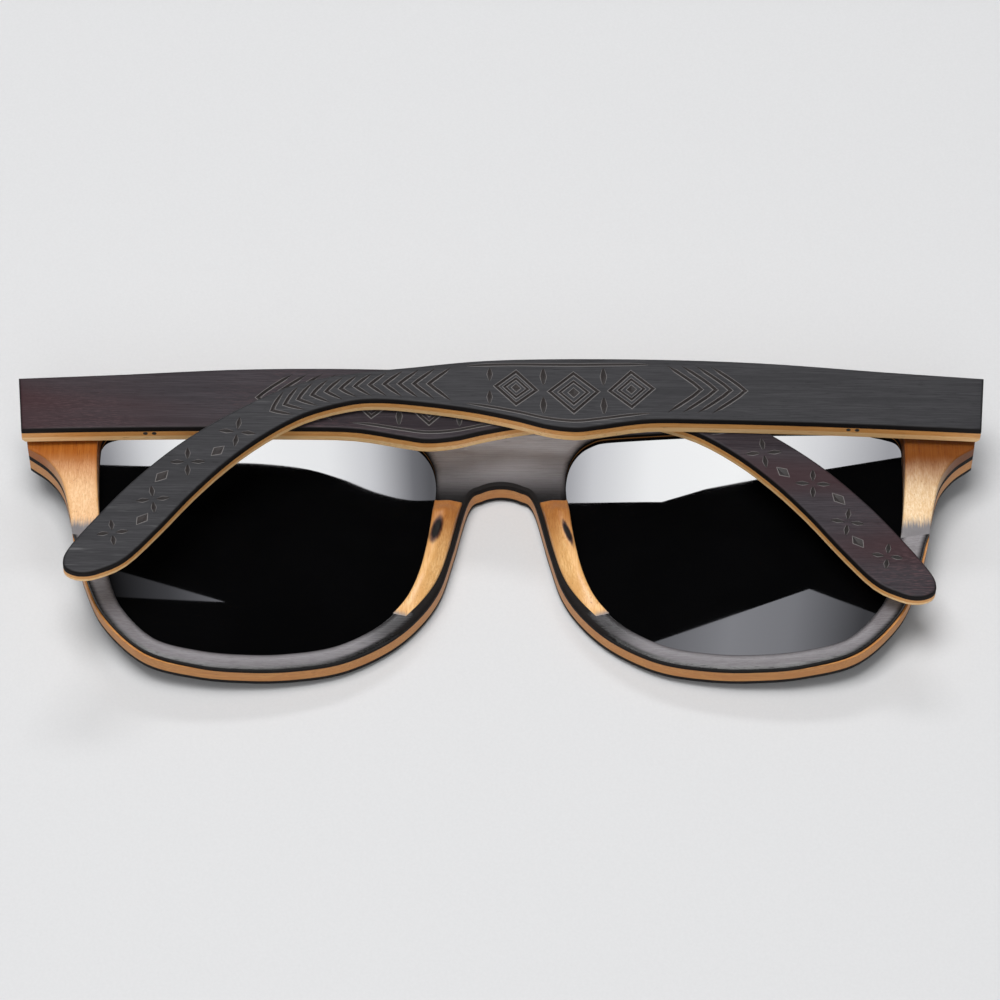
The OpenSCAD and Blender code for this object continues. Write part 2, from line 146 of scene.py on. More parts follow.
def gap_to_line(p, line):
    """Distance from a point to an open line."""
    gaps = []
    for a, b in zip(line, line[1:]):
        q, share = intersect_point_line(p, a, b)
        q = a if share < 0 else b if share > 1 else V(q.x, q.y)
        gaps.append((p - q).length)
    return min(gaps)


def gap_to(p, loop):
    return gap_to_line(p, loop + loop[:1])


def step(x, low, high):
    """Smooth step from 0 at low to 1 at high."""
    t = min(1.0, max(0.0, (x - low) / (high - low)))
    return t * t * (3 - 2 * t)


# Points of the lens opening, as shares of its half width and half height, from its outer upper corner down
OPENING = [(0.985, 0.795), (1, 0.615), (0.985, 0.225), (0.955, -0.09), (0.9, -0.4), (0.81, -0.67),
           (0.62, -0.905), (0.36, -0.985), (0.09, -1), (-0.16, -0.975), (-0.42, -0.9), (-0.64, -0.745),
           (-0.79, -0.56), (-0.895, -0.335), (-0.955, -0.03), (-0.99, 0.32), (-1, 0.605), (-0.955, 0.81),
           (-0.85, 0.945), (-0.67, 0.99), (0, 1), (0.7, 0.94), (0.91, 0.88)]
opening_knots = [V(LENS_X + x * LENS_W / 2, y * LENS_H / 2) for x, y in OPENING]
# The opening's points beside which the rim starts, is narrowest and ends
RIM_FIRST, RIM_LOW, RIM_LAST = 3, 8, 14
# The front's ends are sanded back to the butts of the temples
SANDED_OFF = 0.5


def rim_width(i):
    if i < RIM_LOW:
        return RIM_W + (RIM_SIDE_W - RIM_W) * ((RIM_LOW - i) / (RIM_LOW - RIM_FIRST)) ** 2
    return RIM_W + (RIM_NOSE_W - RIM_W) * ((i - RIM_LOW) / (RIM_LAST - RIM_LOW)) ** 2


rim_knots = [opening_knots[i] + rim_width(i) * left_normal(opening_knots[i + 1] - opening_knots[i - 1])
             for i in range(RIM_FIRST, RIM_LAST + 1)]
end_low = V(FRONT_W / 2 - 2, BUTT_LOW - 0.2)
scallop_x = LENS_X + LENS_W / 2 + RIM_SIDE_W
scallop = [end_low, V((end_low.x + scallop_x + 0.2) / 2, end_low.y - 2.2), V(scallop_x + 1, end_low.y - 5.4),
           V(scallop_x - 0.4, end_low.y - 10.4)]
arch = [V(BRIDGE_W / 4, ARCH_Y - BRIDGE_W / 7), V(BRIDGE_W / 7, ARCH_Y - BRIDGE_W / 28), V(0, ARCH_Y)]
brow = [V(0, TOP_Y - BRIDGE_DROP), V(BRIDGE_W / 2, TOP_Y - 2), V(LENS_X - 6, BROW_Y), V(LENS_X + 10, BROW_Y),
        V(FRONT_W / 2 - 6, TOP_Y), V(FRONT_W / 2 - 1.6, TOP_Y - 0.9), V(FRONT_W / 2 - SANDED_OFF, TOP_Y - 3)]


def placed(points):
    return [V(p.x, p.y + SHIFT_Y) for p in points]


def mirrored(points):
    return [V(-p.x, p.y) for p in reversed(points)]


half_outline = placed(line_curve(brow, 12, before=V(-brow[1].x, brow[1].y))
                      + line_curve(scallop + rim_knots + arch, 10, after=V(-arch[-2].x, arch[-2].y)))
outline = half_outline + mirrored(half_outline[1:-1])
opening = placed(ring_curve(opening_knots, 8))


def bent_z(x, t):
    """Height of the bent front at depth t behind its front face."""
    return WRAP_R - math.sqrt((WRAP_R - t) ** 2 - x * x)


# Mesh building

# Distance from the outline that points well inside a face get
FAR_IN = 3.0
# Share of a solid's thickness that one rounded edge may take
ROUND_ROOM = 0.49
# Least distance of a grid point from the edges, as a share of the grid
GRID_CLEAR = 0.4
# Distances in metres under which points are joined, and under which edges vanish
WELD, VANISH = 2e-6, 1e-6


def linked(name, data):
    ob = bpy.data.objects.new(name, data)
    bpy.context.scene.collection.objects.link(ob)
    return ob


def cleaned(mesh):
    bm = bmesh.new()
    bm.from_mesh(mesh)
    bmesh.ops.remove_doubles(bm, verts=bm.verts, dist=WELD)
    bmesh.ops.dissolve_degenerate(bm, edges=bm.edges, dist=VANISH)
    bmesh.ops.recalc_face_normals(bm, faces=bm.faces)
    bm.to_mesh(mesh)
    bm.free()


def new_piece(name, built, body, nodes, matrix=None, angle=34):
    """Object from points in millimetres, faces and values per point, on a body and in place of nodes."""
    verts, faces, values = built
    mesh = bpy.data.meshes.new(name)
    matrix = matrix or Matrix.Identity(4)
    mesh.from_pydata([(matrix @ Vector(v)) * MM for v in verts], [], faces)
    for key, numbers in values.items():
        mesh.attributes.new(key, "FLOAT", "POINT").data.foreach_set("value", numbers)
    mesh.validate()
    ob = linked(name, mesh)
    cleaned(mesh)
    mesh.polygons.foreach_set("use_smooth", [True] * len(mesh.polygons))
    mesh.set_sharp_from_angle(angle=math.radians(angle))
    smooth = ob.modifiers.new("Even normals", "WEIGHTED_NORMAL")
    smooth.keep_sharp = True
    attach(ob, body)
    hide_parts(*nodes)
    return ob


def grid_points(rings, grid):
    """Points of a staggered grid inside the first ring, outside the others and clear of them all."""
    xs, ys = [p.x for p in rings[0]], [p.y for p in rings[0]]
    out = []
    for i in range(int((max(xs) - min(xs)) / grid) + 2):
        for j in range(int((max(ys) - min(ys)) / grid) + 2):
            p = V(min(xs) + (i + 0.5 * (j % 2)) * grid, min(ys) + j * grid)
            if not inside(p, rings[0]) or any(inside(p, hole) for hole in rings[1:]):
                continue
            if min(gap_to(p, ring) for ring in rings) > GRID_CLEAR * grid:
                out.append((p, 0.0, 0.0))
    return out


def slab(outer, holes, low, high, r_low, r_high, grid, marks=None, steps=3):
    """Closed solid between two heights. r_low and r_high say how far its rounded edges reach in and down.

    Each point gets two values: edge, its distance in from the outline, and lip, 1 along a cut."""
    loops = [(outer, 1 if area(outer) > 0 else -1)] + [(h, -1 if area(h) > 0 else 1) for h in holes]
    verts, faces, caps, edge, lip = [], [], ([], []), [], []
    for loop, inward in loops:
        normals = inset_normals(loop, inward)
        rings = [("low", k / steps) for k in range(steps + 1)]
        rings += [("high", 1 - k / steps) for k in range(steps + 1)]
        first = len(verts)
        for side, share in rings:
            for p, n in zip(loop, normals):
                room = max(0.0, high(p.x, p.y) - low(p.x, p.y)) * ROUND_ROOM
                wide, deep = (r_low if side == "low" else r_high)(p.x, p.y)
                deep = min(deep, room)
                turn = share * math.pi / 2
                reach = wide * (1 - math.sin(turn))
                q = p + n * reach
                rise = deep * (1 - math.cos(turn))
                z = low(q.x, q.y) + rise if side == "low" else high(q.x, q.y) - rise
                verts.append((q.x, q.y, z))
                edge.append(reach)
                lip.append(0.0)
        m = len(loop)
        for k in range(len(rings) - 1):
            a, b = first + k * m, first + (k + 1) * m
            faces += [(a + i, a + (i + 1) % m, b + (i + 1) % m, b + i) for i in range(m)]
        caps[0].append(range(first, first + m))
        caps[1].append(range(first + (len(rings) - 1) * m, first + len(rings) * m))
    for which, height in ((0, low), (1, high)):
        flat, index, edges = [], [], []
        for ring in caps[which]:
            start = len(flat)
            flat += [V(*verts[i][:2]) for i in ring]
            index += list(ring)
            edges += [(start + i, start + (i + 1) % len(ring)) for i in range(len(ring))]
        rings2d = [[V(*verts[i][:2]) for i in ring] for ring in caps[which]]
        extra = grid_points(rings2d, grid) if grid else []
        if marks and which == 1:
            points, lines = marks
            start = len(flat) + len(extra)
            edges += [(start + a, start + b) for a, b in lines]
            extra += points
        for p, drop, lip_flag in extra:
            index.append(len(verts))
            verts.append((p.x, p.y, height(p.x, p.y) - drop))
            edge.append(FAR_IN)
            lip.append(lip_flag)
            flat.append(p)
        _, _, tris, origin, _, _ = delaunay_2d_cdt(flat, edges, [], 1, 1e-6)
        for tri in tris:
            at = [index[origin[k][0]] for k in tri]
            mid = sum((V(*verts[i][:2]) for i in at), V(0, 0)) / 3
            if any(inside(mid, h) for h in rings2d[1:]):
                continue
            faces.append(at if which else at[::-1])
    return verts, faces, {"edge": edge, "lip": lip}


# Materials

def nodes_of(mat):
    mat.use_nodes = True
    return mat.node_tree, mat.node_tree.nodes["Principled BSDF"].inputs


def put(tree, value, socket):
    if isinstance(value, bpy.types.NodeSocket):
        tree.links.new(value, socket)
    else:
        socket.default_value = value


def node(tree, kind, inputs=None, **settings):
    n = tree.nodes.new(kind)
    for key, value in settings.items():
        setattr(n, key, value)
    for key, value in (inputs or {}).items():
        put(tree, value, n.inputs[key])
    return n


def sums(tree, operation, a, b=0.0):
    return node(tree, "ShaderNodeMath", {0: a, 1: b}, operation=operation).outputs[0]


def times(tree, a, b):
    return sums(tree, "MULTIPLY", a, b)


def vectors(tree, operation, a, b=(0, 0, 0)):
    return node(tree, "ShaderNodeVectorMath", {0: a, 1: b}, operation=operation).outputs


def spread(tree, value, low, high, to_low=0.0, to_high=1.0, kind="SMOOTHSTEP"):
    span = {"Value": value, "From Min": low, "From Max": high, "To Min": to_low, "To Max": to_high}
    return node(tree, "ShaderNodeMapRange", span, interpolation_type=kind).outputs["Result"]


def mix(tree, share, a, b, blend="MIX"):
    pair = {"Factor": share, "A": a, "B": b}
    return node(tree, "ShaderNodeMix", pair, data_type="RGBA", blend_type=blend).outputs["Result"]


def object_place(tree):
    return node(tree, "ShaderNodeTexCoord").outputs["Object"]


def object_xyz(tree):
    return node(tree, "ShaderNodeSeparateXYZ", {"Vector": object_place(tree)}).outputs


def streaks(tree, scale, detail=4.0, rough=0.6, shift=0.0, turn=0.0):
    """Noise in the object's own coordinates, with its own scale along X, Y and Z, per metre."""
    place = {"Vector": object_place(tree), "Location": (shift,) * 3, "Rotation": (0, 0, turn), "Scale": scale}
    place = node(tree, "ShaderNodeMapping", place).outputs["Vector"]
    noise = {"Vector": place, "Scale": 1.0, "Detail": detail, "Roughness": rough}
    return node(tree, "ShaderNodeTexNoise", noise).outputs["Fac"]


def bump(tree, height, strength, distance):
    relief = {"Height": height, "Strength": strength, "Distance": distance}
    return node(tree, "ShaderNodeBump", relief).outputs["Normal"]


def rgb(r, g, b):
    return (r, g, b, 1.0)


# Scale of the grain per metre, along the wood and across it, and the height of its relief in metres
FINE, BROAD, PORE = (110, 5200), (28, 700), (420, 9000)
TINT, SHORT, PATCH = (14, 60, 60), (800, 7000, 7000), (30, 30, 30)
SCUFFS, SCUFF_PATCH = (60, 1500, 1500), (22, 60, 60)
RELIEF = 0.00008


def grain_scale(pair, along):
    length, across = pair
    return (length, across, across) if along == "X" else (across, length, across)


def wood(name, deep, mid, pale, along="X", rough=(0.4, 0.55), tint=None, relief=0.25, specular=0.5,
         flecks=None, scuffs=None):
    """Wood with long fine grain. deep, mid and pale are its pores, its body and its light streaks."""
    mat = bpy.data.materials.new(name)
    tree, looks = nodes_of(mat)
    grain = streaks(tree, grain_scale(FINE, along), 5.0, 0.65)
    bands = streaks(tree, grain_scale(BROAD, along), 3.0, 0.55, 3.7)
    pores = streaks(tree, grain_scale(PORE, along), 2.0, 0.5, 9.1)
    colour = mix(tree, spread(tree, grain, 0.34, 0.68), mid, pale)
    colour = mix(tree, spread(tree, bands, 0.42, 0.72, 0.0, 0.75), colour, mid)
    colour = mix(tree, spread(tree, pores, 0.6, 0.76, 0.0, 0.7), colour, deep)
    if tint:
        where = spread(tree, streaks(tree, TINT, 2.0, 0.5, 5.3), 0.4, 0.7)
        colour = mix(tree, where, colour, tint)
    if flecks:
        short = spread(tree, streaks(tree, SHORT, 2.0, 0.5, 8.3), 0.5, 0.62, 0.0, 0.75)
        where = spread(tree, streaks(tree, PATCH, 2.0, 0.5, 2.9), 0.36, 0.6)
        colour = mix(tree, times(tree, short, where), colour, flecks)
    if scuffs:
        marks = spread(tree, streaks(tree, SCUFFS, 4.0, 0.7, 7.7, 0.14), 0.56, 0.72, 0.0, 0.6)
        patches = spread(tree, streaks(tree, SCUFF_PATCH, 2.0, 0.5, 4.1, 0.1), 0.5, 0.66)
        colour = mix(tree, times(tree, marks, patches), colour, scuffs)
    pits = times(tree, spread(tree, pores, 0.6, 0.76), 0.8)
    put(tree, colour, looks["Base Color"])
    put(tree, spread(tree, grain, 0.3, 0.75, *rough), looks["Roughness"])
    put(tree, bump(tree, sums(tree, "SUBTRACT", grain, pits), relief, RELIEF), looks["Normal"])
    put(tree, specular, looks["Specular IOR Level"])
    return mat


def opened(mat):
    """A material's nodes, its shader's inputs and its colour so far."""
    tree, looks = nodes_of(mat)
    return tree, looks, looks["Base Color"].links[0].from_socket


def value_of(tree, name):
    return node(tree, "ShaderNodeAttribute", attribute_name=name).outputs["Fac"]


def edges_burnt_and_shaded(mat, reach):
    """Darkens a ply towards its sawn and sanded edges, over about a reach in millimetres: partly burn, partly
    painted shade.
    """
    tree, looks, colour = opened(mat)
    wander = times(tree, streaks(tree, (300, 900, 900), 3.0, 0.6, 2.2), 0.3 * reach)
    near = sums(tree, "ADD", value_of(tree, "edge"), wander)
    light = spread(tree, near, 0.25 * reach, 1.3 * reach)
    put(tree, mix(tree, light, BURN_AND_SHADE, colour), looks["Base Color"])


def highlighted_lips(mat, pale):
    """Paints a highlight on the lips of the cuts."""
    tree, looks, colour = opened(mat)
    share = times(tree, spread(tree, value_of(tree, "lip"), 0.3, 1.0), 0.8)
    put(tree, mix(tree, share, colour, pale), looks["Base Color"])


# Near black for the edges of the plies, partly burn and partly painted shade; a singed halo and bared ply for
# the marks; then a dark for the arch, partly a stain and partly painted shade, and painted shade beyond the
# pads
BURN_AND_SHADE, SINGED, BARED = rgb(0.004, 0.003, 0.003), rgb(0.09, 0.025, 0.008), rgb(0.008, 0.006, 0.006)
SHADE, DIM_SHADE = rgb(0.008, 0.007, 0.007), rgb(0.012, 0.011, 0.011)
# The last of these is the colour of the painted highlight on the lips of the cuts
MAPLE_DEEP, EBONY_WORN, LIP_HIGHLIGHT = rgb(0.3, 0.11, 0.028), rgb(0.17, 0.16, 0.166), rgb(0.24, 0.225, 0.22)

ebony = wood("Ebony", rgb(0.012, 0.011, 0.012), rgb(0.045, 0.041, 0.044), rgb(0.085, 0.08, 0.085),
             rough=(0.36, 0.5))
edges_burnt_and_shaded(ebony, 0.55)
# The back ply is the same ebony painted much lighter than the front ply: a painted sheen, like the one it
# catches over the bridge
ebony_back_painted_sheen = wood("Ebony back", rgb(0.24, 0.218, 0.225), rgb(0.32, 0.296, 0.306), rgb(0.365, 0.343, 0.352),
                  rough=(0.24, 0.34), specular=0.28, scuffs=rgb(0.43, 0.41, 0.415))
edges_burnt_and_shaded(ebony_back_painted_sheen, 0.85)
ebony_temple = wood("Ebony temple", rgb(0.006, 0.006, 0.007), rgb(0.0245, 0.024, 0.0265),
                    rgb(0.046, 0.045, 0.0485), rough=(0.44, 0.6), specular=0.15,
                    scuffs=rgb(0.15, 0.148, 0.15))
ebony_warm = wood("Ebony warm", rgb(0.01, 0.004, 0.005), rgb(0.0235, 0.0185, 0.0225),
                  rgb(0.047, 0.039, 0.045), rough=(0.42, 0.58), tint=rgb(0.037, 0.013, 0.015), specular=0.15,
                  flecks=rgb(0.09, 0.05, 0.055))
for temple_wood in (ebony_temple, ebony_warm):
    edges_burnt_and_shaded(temple_wood, 0.3)
    highlighted_lips(temple_wood, LIP_HIGHLIGHT)
# Near black for upright walls and strips: partly the burn of the cut, partly painted shade
burn_and_shade_black = wood("Burnt edge", rgb(0.003, 0.003, 0.003), rgb(0.007, 0.006, 0.006), rgb(0.014, 0.011, 0.01),
             rough=(0.6, 0.75), specular=0.12)
carved = wood("Carved ebony", rgb(0.004, 0.003, 0.003), rgb(0.012, 0.009, 0.009), rgb(0.03, 0.022, 0.02),
              rough=(0.55, 0.7), relief=0.4)
maple_long = wood("Light wood along", MAPLE_DEEP, rgb(0.88, 0.52, 0.22), rgb(0.95, 0.66, 0.34),
                  rough=(0.42, 0.58))
amber = wood("Amber wood", rgb(0.3, 0.1, 0.025), rgb(0.7, 0.31, 0.08), rgb(0.84, 0.43, 0.14),
             rough=(0.45, 0.6))
core_wood = wood("Core wood", rgb(0.25, 0.08, 0.018), rgb(0.5, 0.195, 0.044), rgb(0.62, 0.29, 0.082),
                 rough=(0.42, 0.58))


def feathered(mat, way, low, high, ragged):
    """Runs a light wood out into the dark ply under it, with a streaky edge from low to high along a way."""
    low, high, ragged = low * MM, high * MM, ragged * MM
    tree, looks, colour = opened(mat)
    reach = vectors(tree, "DOT_PRODUCT", object_place(tree), way)["Value"]
    noise = sums(tree, "SUBTRACT", streaks(tree, (3600, 150, 900), 3.0, 0.6, 1.9), 0.5)
    place = sums(tree, "ADD", reach, times(tree, noise, ragged))
    put(tree, mix(tree, spread(tree, place, low, high), EBONY_WORN, colour), looks["Base Color"])


def graded(mat, low, high, tone):
    """Deepens a wood by a tone, more and more from one place along Y to another."""
    tree, looks, colour = opened(mat)
    wander = times(tree, streaks(tree, (500, 90, 200), 3.0, 0.6, 6.3), 0.003)
    share = spread(tree, sums(tree, "ADD", object_xyz(tree)["Y"], wander), low * MM, high * MM)
    put(tree, mix(tree, share, colour, tone, "MULTIPLY"), looks["Base Color"])


def shaded(mat, low, high, half):
    """Darkens a ply under a height along Y, within half a width of the middle, and dulls its gloss: partly a
    stain, partly painted shade.
    """
    tree, looks, colour = opened(mat)
    place = object_xyz(tree)
    near = sums(tree, "LESS_THAN", sums(tree, "ABSOLUTE", place["X"]), half * MM)
    share = times(tree, spread(tree, place["Y"], high * MM, low * MM), near)
    put(tree, mix(tree, share, colour, SHADE), looks["Base Color"])
    gloss = looks["Specular IOR Level"]
    put(tree, spread(tree, share, 0.0, 1.0, gloss.default_value, 0.05), gloss)


def shade_painted_around(mat, centre, near, far, share):
    """Paints shade on a ply around a place and around its mirror image, less and less between two distances
    from it.
    """
    tree, looks, colour = opened(mat)
    place = object_xyz(tree)
    place = {"X": sums(tree, "ABSOLUTE", place["X"]), "Y": place["Y"]}
    place = node(tree, "ShaderNodeCombineXYZ", place).outputs["Vector"]
    away = vectors(tree, "DISTANCE", place, (centre.x * MM, centre.y * MM, 0))["Value"]
    dim = spread(tree, away, near * MM, far * MM, share, 0.0)
    put(tree, mix(tree, dim, colour, DIM_SHADE), looks["Base Color"])


def marked(mat, centre, turn, radii):
    """A dark oval where the wood is sanded through to the ply under it."""
    tree, looks, colour = opened(mat)
    place = {"Vector": object_place(tree), "Location": (centre[0] * MM, centre[1] * MM, 0),
             "Rotation": (0, 0, turn), "Scale": (radii[0] * MM, radii[1] * MM, 1.0)}
    place = node(tree, "ShaderNodeMapping", place, vector_type="TEXTURE").outputs["Vector"]
    flat = vectors(tree, "MULTIPLY", place, (1, 1, 0))["Vector"]
    wander = times(tree, streaks(tree, (2500, 900, 900), 3.0, 0.6), 0.5)
    ragged = sums(tree, "ADD", vectors(tree, "LENGTH", flat)["Value"], wander)
    singed = mix(tree, spread(tree, ragged, 1.15, 1.75), SINGED, colour)
    inner = spread(tree, ragged, 0.9, 1.25)
    put(tree, mix(tree, inner, BARED, singed), looks["Base Color"])
    put(tree, spread(tree, inner, 0.0, 1.0, 0.16, 0.5), looks["Specular IOR Level"])


def plain(name, colour, rough, metallic=0.0, specular=0.5, grain=(4000, 4000, 4000), depth=0.00002,
          strength=0.1):
    mat = bpy.data.materials.new(name)
    tree, looks = nodes_of(mat)
    noise = streaks(tree, grain, 4.0, 0.6)
    dim = rgb(*(c * 0.8 for c in colour))
    put(tree, mix(tree, spread(tree, noise, 0.35, 0.65), dim, rgb(*colour)), looks["Base Color"])
    put(tree, spread(tree, noise, 0.3, 0.7, *rough), looks["Roughness"])
    put(tree, bump(tree, noise, strength, depth), looks["Normal"])
    put(tree, metallic, looks["Metallic"])
    put(tree, specular, looks["Specular IOR Level"])
    return mat


lens_mat = plain("Dark lens", (0.002, 0.002, 0.0022), (0.004, 0.01), specular=0.7, grain=(90, 90, 90),
                 depth=0.0000002, strength=0.01)
steel_mat = plain("Brushed steel", (0.62, 0.62, 0.63), (0.24, 0.4), 1.0, grain=(700, 16000, 16000),
                  depth=0.00001, strength=0.25)
dark_steel = plain("Dark steel", (0.16, 0.15, 0.14), (0.4, 0.5), 1.0)


def dress(ob, *mats):
    ob.data.materials.clear()
    for m in mats:
        ob.data.materials.append(m)


# Front: three plies, rounded only at the front and at the back

PAD_TOP, PAD_L, PAD_H, PAD_END = ARCH_Y - 4 + SHIFT_Y + 0.4, 22.0, 3.0, 0.9
PAD_LEAN, PAD_X = math.radians(20), 3 * BRIDGE_W / 8 + 0.6
PAD_SLOPE = (PAD_H - PAD_END) / PAD_L
# A pad's ramps at its upper and lower ends, and the width of the front beside the middle where pads lie
PAD_RAMP, PAD_FADE, PAD_ZONE = 3.4, 3.0, 24.0
# Where the blocks start to cover the edges of the back ply, along X and along Y
BLOCK_ZONE_X, BLOCK_ZONE_Y = (54.5, 56.5), (-2.6, -0.4)
# Where the edge under the arch starts, along minus X and along Y
ARCH_ZONE_X, ARCH_ZONE_Y = (-10.0, -7.0), (PAD_TOP - 1.3, PAD_TOP + 0.7)
# How far out an edge counts as beside a pad, where along the pad that ends, and its fade at the pad's top
NOSE_ZONE, BESIDE_ENDS, TOP_FADE = 26.0, (PAD_L - 6, PAD_L + 8), 0.6
# Depth of the pads and blocks in the ply, and their thickness where they run out
SEAT, THIN = 0.05, 0.03
# Rounding of the back ply, in and down, and how much less of it there is under the arch
BACK_WIDE, BACK_DEEP, ARCH_LESS_WIDE, ARCH_LESS_DEEP = 1.0, 0.46, 0.3, 0.14
# Width of the black edge beside a pad's upper end, and how much and from where it grows to the lower end
PAD_STRIP, PAD_STRIP_GROWTH, PAD_STRIP_FROM = 0.65, 0.75, 9.0
# Width of the black edge under the arch and on the rim
ARCH_STRIP, RIM_STRIP = 0.75, 0.72
# Where the black edge narrows above a pad's lower end, starts to fade below it, and ends
STRIP_NARROWS, STRIP_FADES, STRIP_ENDS = 1.5, 3.0, 14.0
NOSE_LOW, NOSE_OVER = -26.0, 5.0
nose_edge = [p for p in half_outline if p.x < LENS_X and NOSE_LOW < p.y < PAD_TOP + NOSE_OVER]


def along_pad(x, y):
    """Distance down along a pad from its upper end."""
    return (x - PAD_X) * math.sin(PAD_LEAN) - (y - PAD_TOP) * math.cos(PAD_LEAN)


def pad_inset(x, y):
    """Dark strip of the back ply between a pad and the nose, wider at the pad's lower end."""
    return PAD_STRIP + PAD_STRIP_GROWTH * step(along_pad(x, y), PAD_STRIP_FROM, PAD_L)


def nose_gap(x, y):
    return gap_to_line(V(x, y), nose_edge)


def under_pad(x, y):
    if x >= PAD_ZONE:
        return 0.0
    return step(along_pad(x, y), PAD_L, PAD_L - PAD_FADE) * (1 - step(y, PAD_TOP - TOP_FADE, PAD_TOP))


def under_block(x, y):
    return step(x, *BLOCK_ZONE_X) * step(y, *BLOCK_ZONE_Y)


def flush(x, y):
    return 0.0, 0.0


def rounded(wide, deep):
    return lambda x, y: (wide, deep)


on_opening = {(round(p.x, 3), round(p.y, 3)) for p in opening}


def back_round(x, y):
    """The back ply is rounded, but for the edges that a pad or a block covers."""
    x = abs(x)
    arch_edge = step(-x, *ARCH_ZONE_X) * step(y, *ARCH_ZONE_Y)
    pad, block = under_pad(x, y), under_block(x, y)
    wide, deep = BACK_WIDE - ARCH_LESS_WIDE * arch_edge, BACK_DEEP - ARCH_LESS_DEEP * arch_edge
    if (round(x, 3), round(y, 3)) in on_opening or block:
        return wide * (1 - max(pad, block)), deep * (1 - max(pad, block))
    beside = (1 - step(along_pad(x, y), *BESIDE_ENDS)) * step(-y, -PAD_TOP, TOP_FADE - PAD_TOP)
    return wide + (pad_inset(x, y) + 0.1 - wide) * (beside if x < NOSE_ZONE else 0.0), deep


def strip_width(x, y):
    """Width of the black edge: under the arch, beside a pad, and thinner on the rim below."""
    if y > PAD_TOP:
        return ARCH_STRIP
    return pad_inset(x, y) if along_pad(x, y) < PAD_L - STRIP_NARROWS else RIM_STRIP


def strip_burn_and_shade(x, y):
    """Share of dark along the nose edge beside each pad: partly burn, partly painted shade."""
    if x > LENS_X:
        return 0.0
    strip = 1 - step(along_pad(x, y), PAD_L + STRIP_FADES, PAD_L + STRIP_ENDS)
    strip *= 1 - step(y, PAD_TOP - TOP_FADE, PAD_TOP + 0.4)
    return strip * (nose_gap(x, y) < strip_width(x, y) + 0.12)


def grown(loop, d):
    m = len(loop)
    return [loop[i] + d * left_normal(loop[(i + 1) % m] - loop[i - 1]) for i in range(m)]


def dark_walls(ob):
    """Gives the upright faces of a ply its second material, a near black edge: partly burn, partly painted
    shade.
    """
    for face in ob.data.polygons:
        if abs(face.normal.z) < UPRIGHT:
            face.material_index = 1


def stacked(low, high):
    """One shape of two, which stay apart by a hair."""
    first = len(low[0])
    faces = low[1] + [[first + i for i in f] for f in high[1]]
    return low[0] + high[0], faces, {key: low[2][key] + high[2][key] for key in low[2]}


def layer(near, far, extra, r_low, r_high, outer=outline):
    """Bent ply between two depths behind the front face, with its openings made larger by extra."""
    holes = [grown(opening, extra), mirrored(grown(opening, extra))]
    return slab(outer, holes, lambda x, y: bent_z(x, near), lambda x, y: bent_z(x, far), r_low, r_high,
                FRONT_GRID)


def slimmed(p, n):
    """The back ply is a little narrower than the core along the rims' outer sides."""
    return p + n * BACK_SLIMMER * step(-p.y, *SLIM_Y) * step(abs(p.x), *SLIM_X)


def front_piece(name, built, mat, slot, node_name):
    ob = new_piece(name, built, "front", [node_name])
    dress(ob, mat, burn_and_shade_black)
    if slot == "ebony":
        dark_walls(ob)
    return ob


LENS_T, HAIR, FRONT_GRID, BACK_SLIMMER, OPENING_LIGHTER = 1.8, 0.01, 1.8, 0.3, 0.3
# Where the back ply starts to be narrower, along minus Y and along X
SLIM_Y, SLIM_X = (1.0, 4.0), (40.0, 54.0)
# A face is upright when the Z of its normal is under this
UPRIGHT = 0.35
LENS_BACK = FRONT_PLY_T + LENS_T
CORE_BACK = FRONT_PLY_T + CORE_PLY_T
front_piece("front_ply_sanded", layer(0, FRONT_PLY_T, 0, rounded(0.5, 0.45), flush),
            ebony, "ebony", "front_ply")
front_piece("core_ply_sanded", stacked(layer(FRONT_PLY_T, LENS_BACK, GROOVE_D, flush, flush),
                                       layer(LENS_BACK + HAIR, CORE_BACK, 0, flush, flush)),
            core_wood, "light_wood", "core_ply")

# The back ply is darker on the lower rims, where less of its painted sheen is kept; above the nose arch,
# partly a stain of the sanded wood and partly painted shade; and beyond the lower ends of the pads, painted
# shade. These are heights, a half width, and two distances from a pad's end with a share of dark
RIMS_DARK, ARCH_DARK_LOW, ARCH_DARK_HIGH, ARCH_DARK_X = (7.0, -4.0), PAD_TOP + 0.7, PAD_TOP + 10.4, 12.5
PAD_END_DARK = (1.5, 9.0, 0.84)
pad_end = V(PAD_X + PAD_L * math.sin(PAD_LEAN), PAD_TOP - PAD_L * math.cos(PAD_LEAN))
graded(ebony_back_painted_sheen, *RIMS_DARK, rgb(0.53, 0.53, 0.54))
shaded(ebony_back_painted_sheen, ARCH_DARK_LOW, ARCH_DARK_HIGH, ARCH_DARK_X)
shade_painted_around(ebony_back_painted_sheen, pad_end, *PAD_END_DARK)
outline_way = 1 if area(outline) > 0 else -1
back_outline = [slimmed(p, n) for p, n in zip(outline, inset_normals(outline, outline_way))]
back = layer(CORE_BACK, FRONT_T, 0, flush, back_round, back_outline)
# The first points are those of the outline, in the eight rings of its rounded wall
on_outline = 8 * len(back_outline)
for i, (x, y, _) in enumerate(back[0]):
    back[2]["edge"][i] *= 1 - strip_burn_and_shade(abs(x), y)
    if i >= on_outline:
        back[2]["edge"][i] += OPENING_LIGHTER
back_ob = front_piece("back_ply_sanded", back, ebony_back_painted_sheen, "ebony", "back_ply")
# Painted shade and burn: the black edge beside the pads and under the arch gets the near black edge material
for face in back_ob.data.polygons:
    x, y = abs(face.center.x) / MM, face.center.y / MM
    if x < LENS_X and along_pad(x, y) < PAD_L + STRIP_FADES and nose_gap(x, y) < strip_width(x, y):
        face.material_index = 1

# Lenses: sections side by side along X, so that the bend mirrors cleanly

LENS_STEPS, LENS_GROWN, LENS_TRIM = 170, 0.85, 0.05


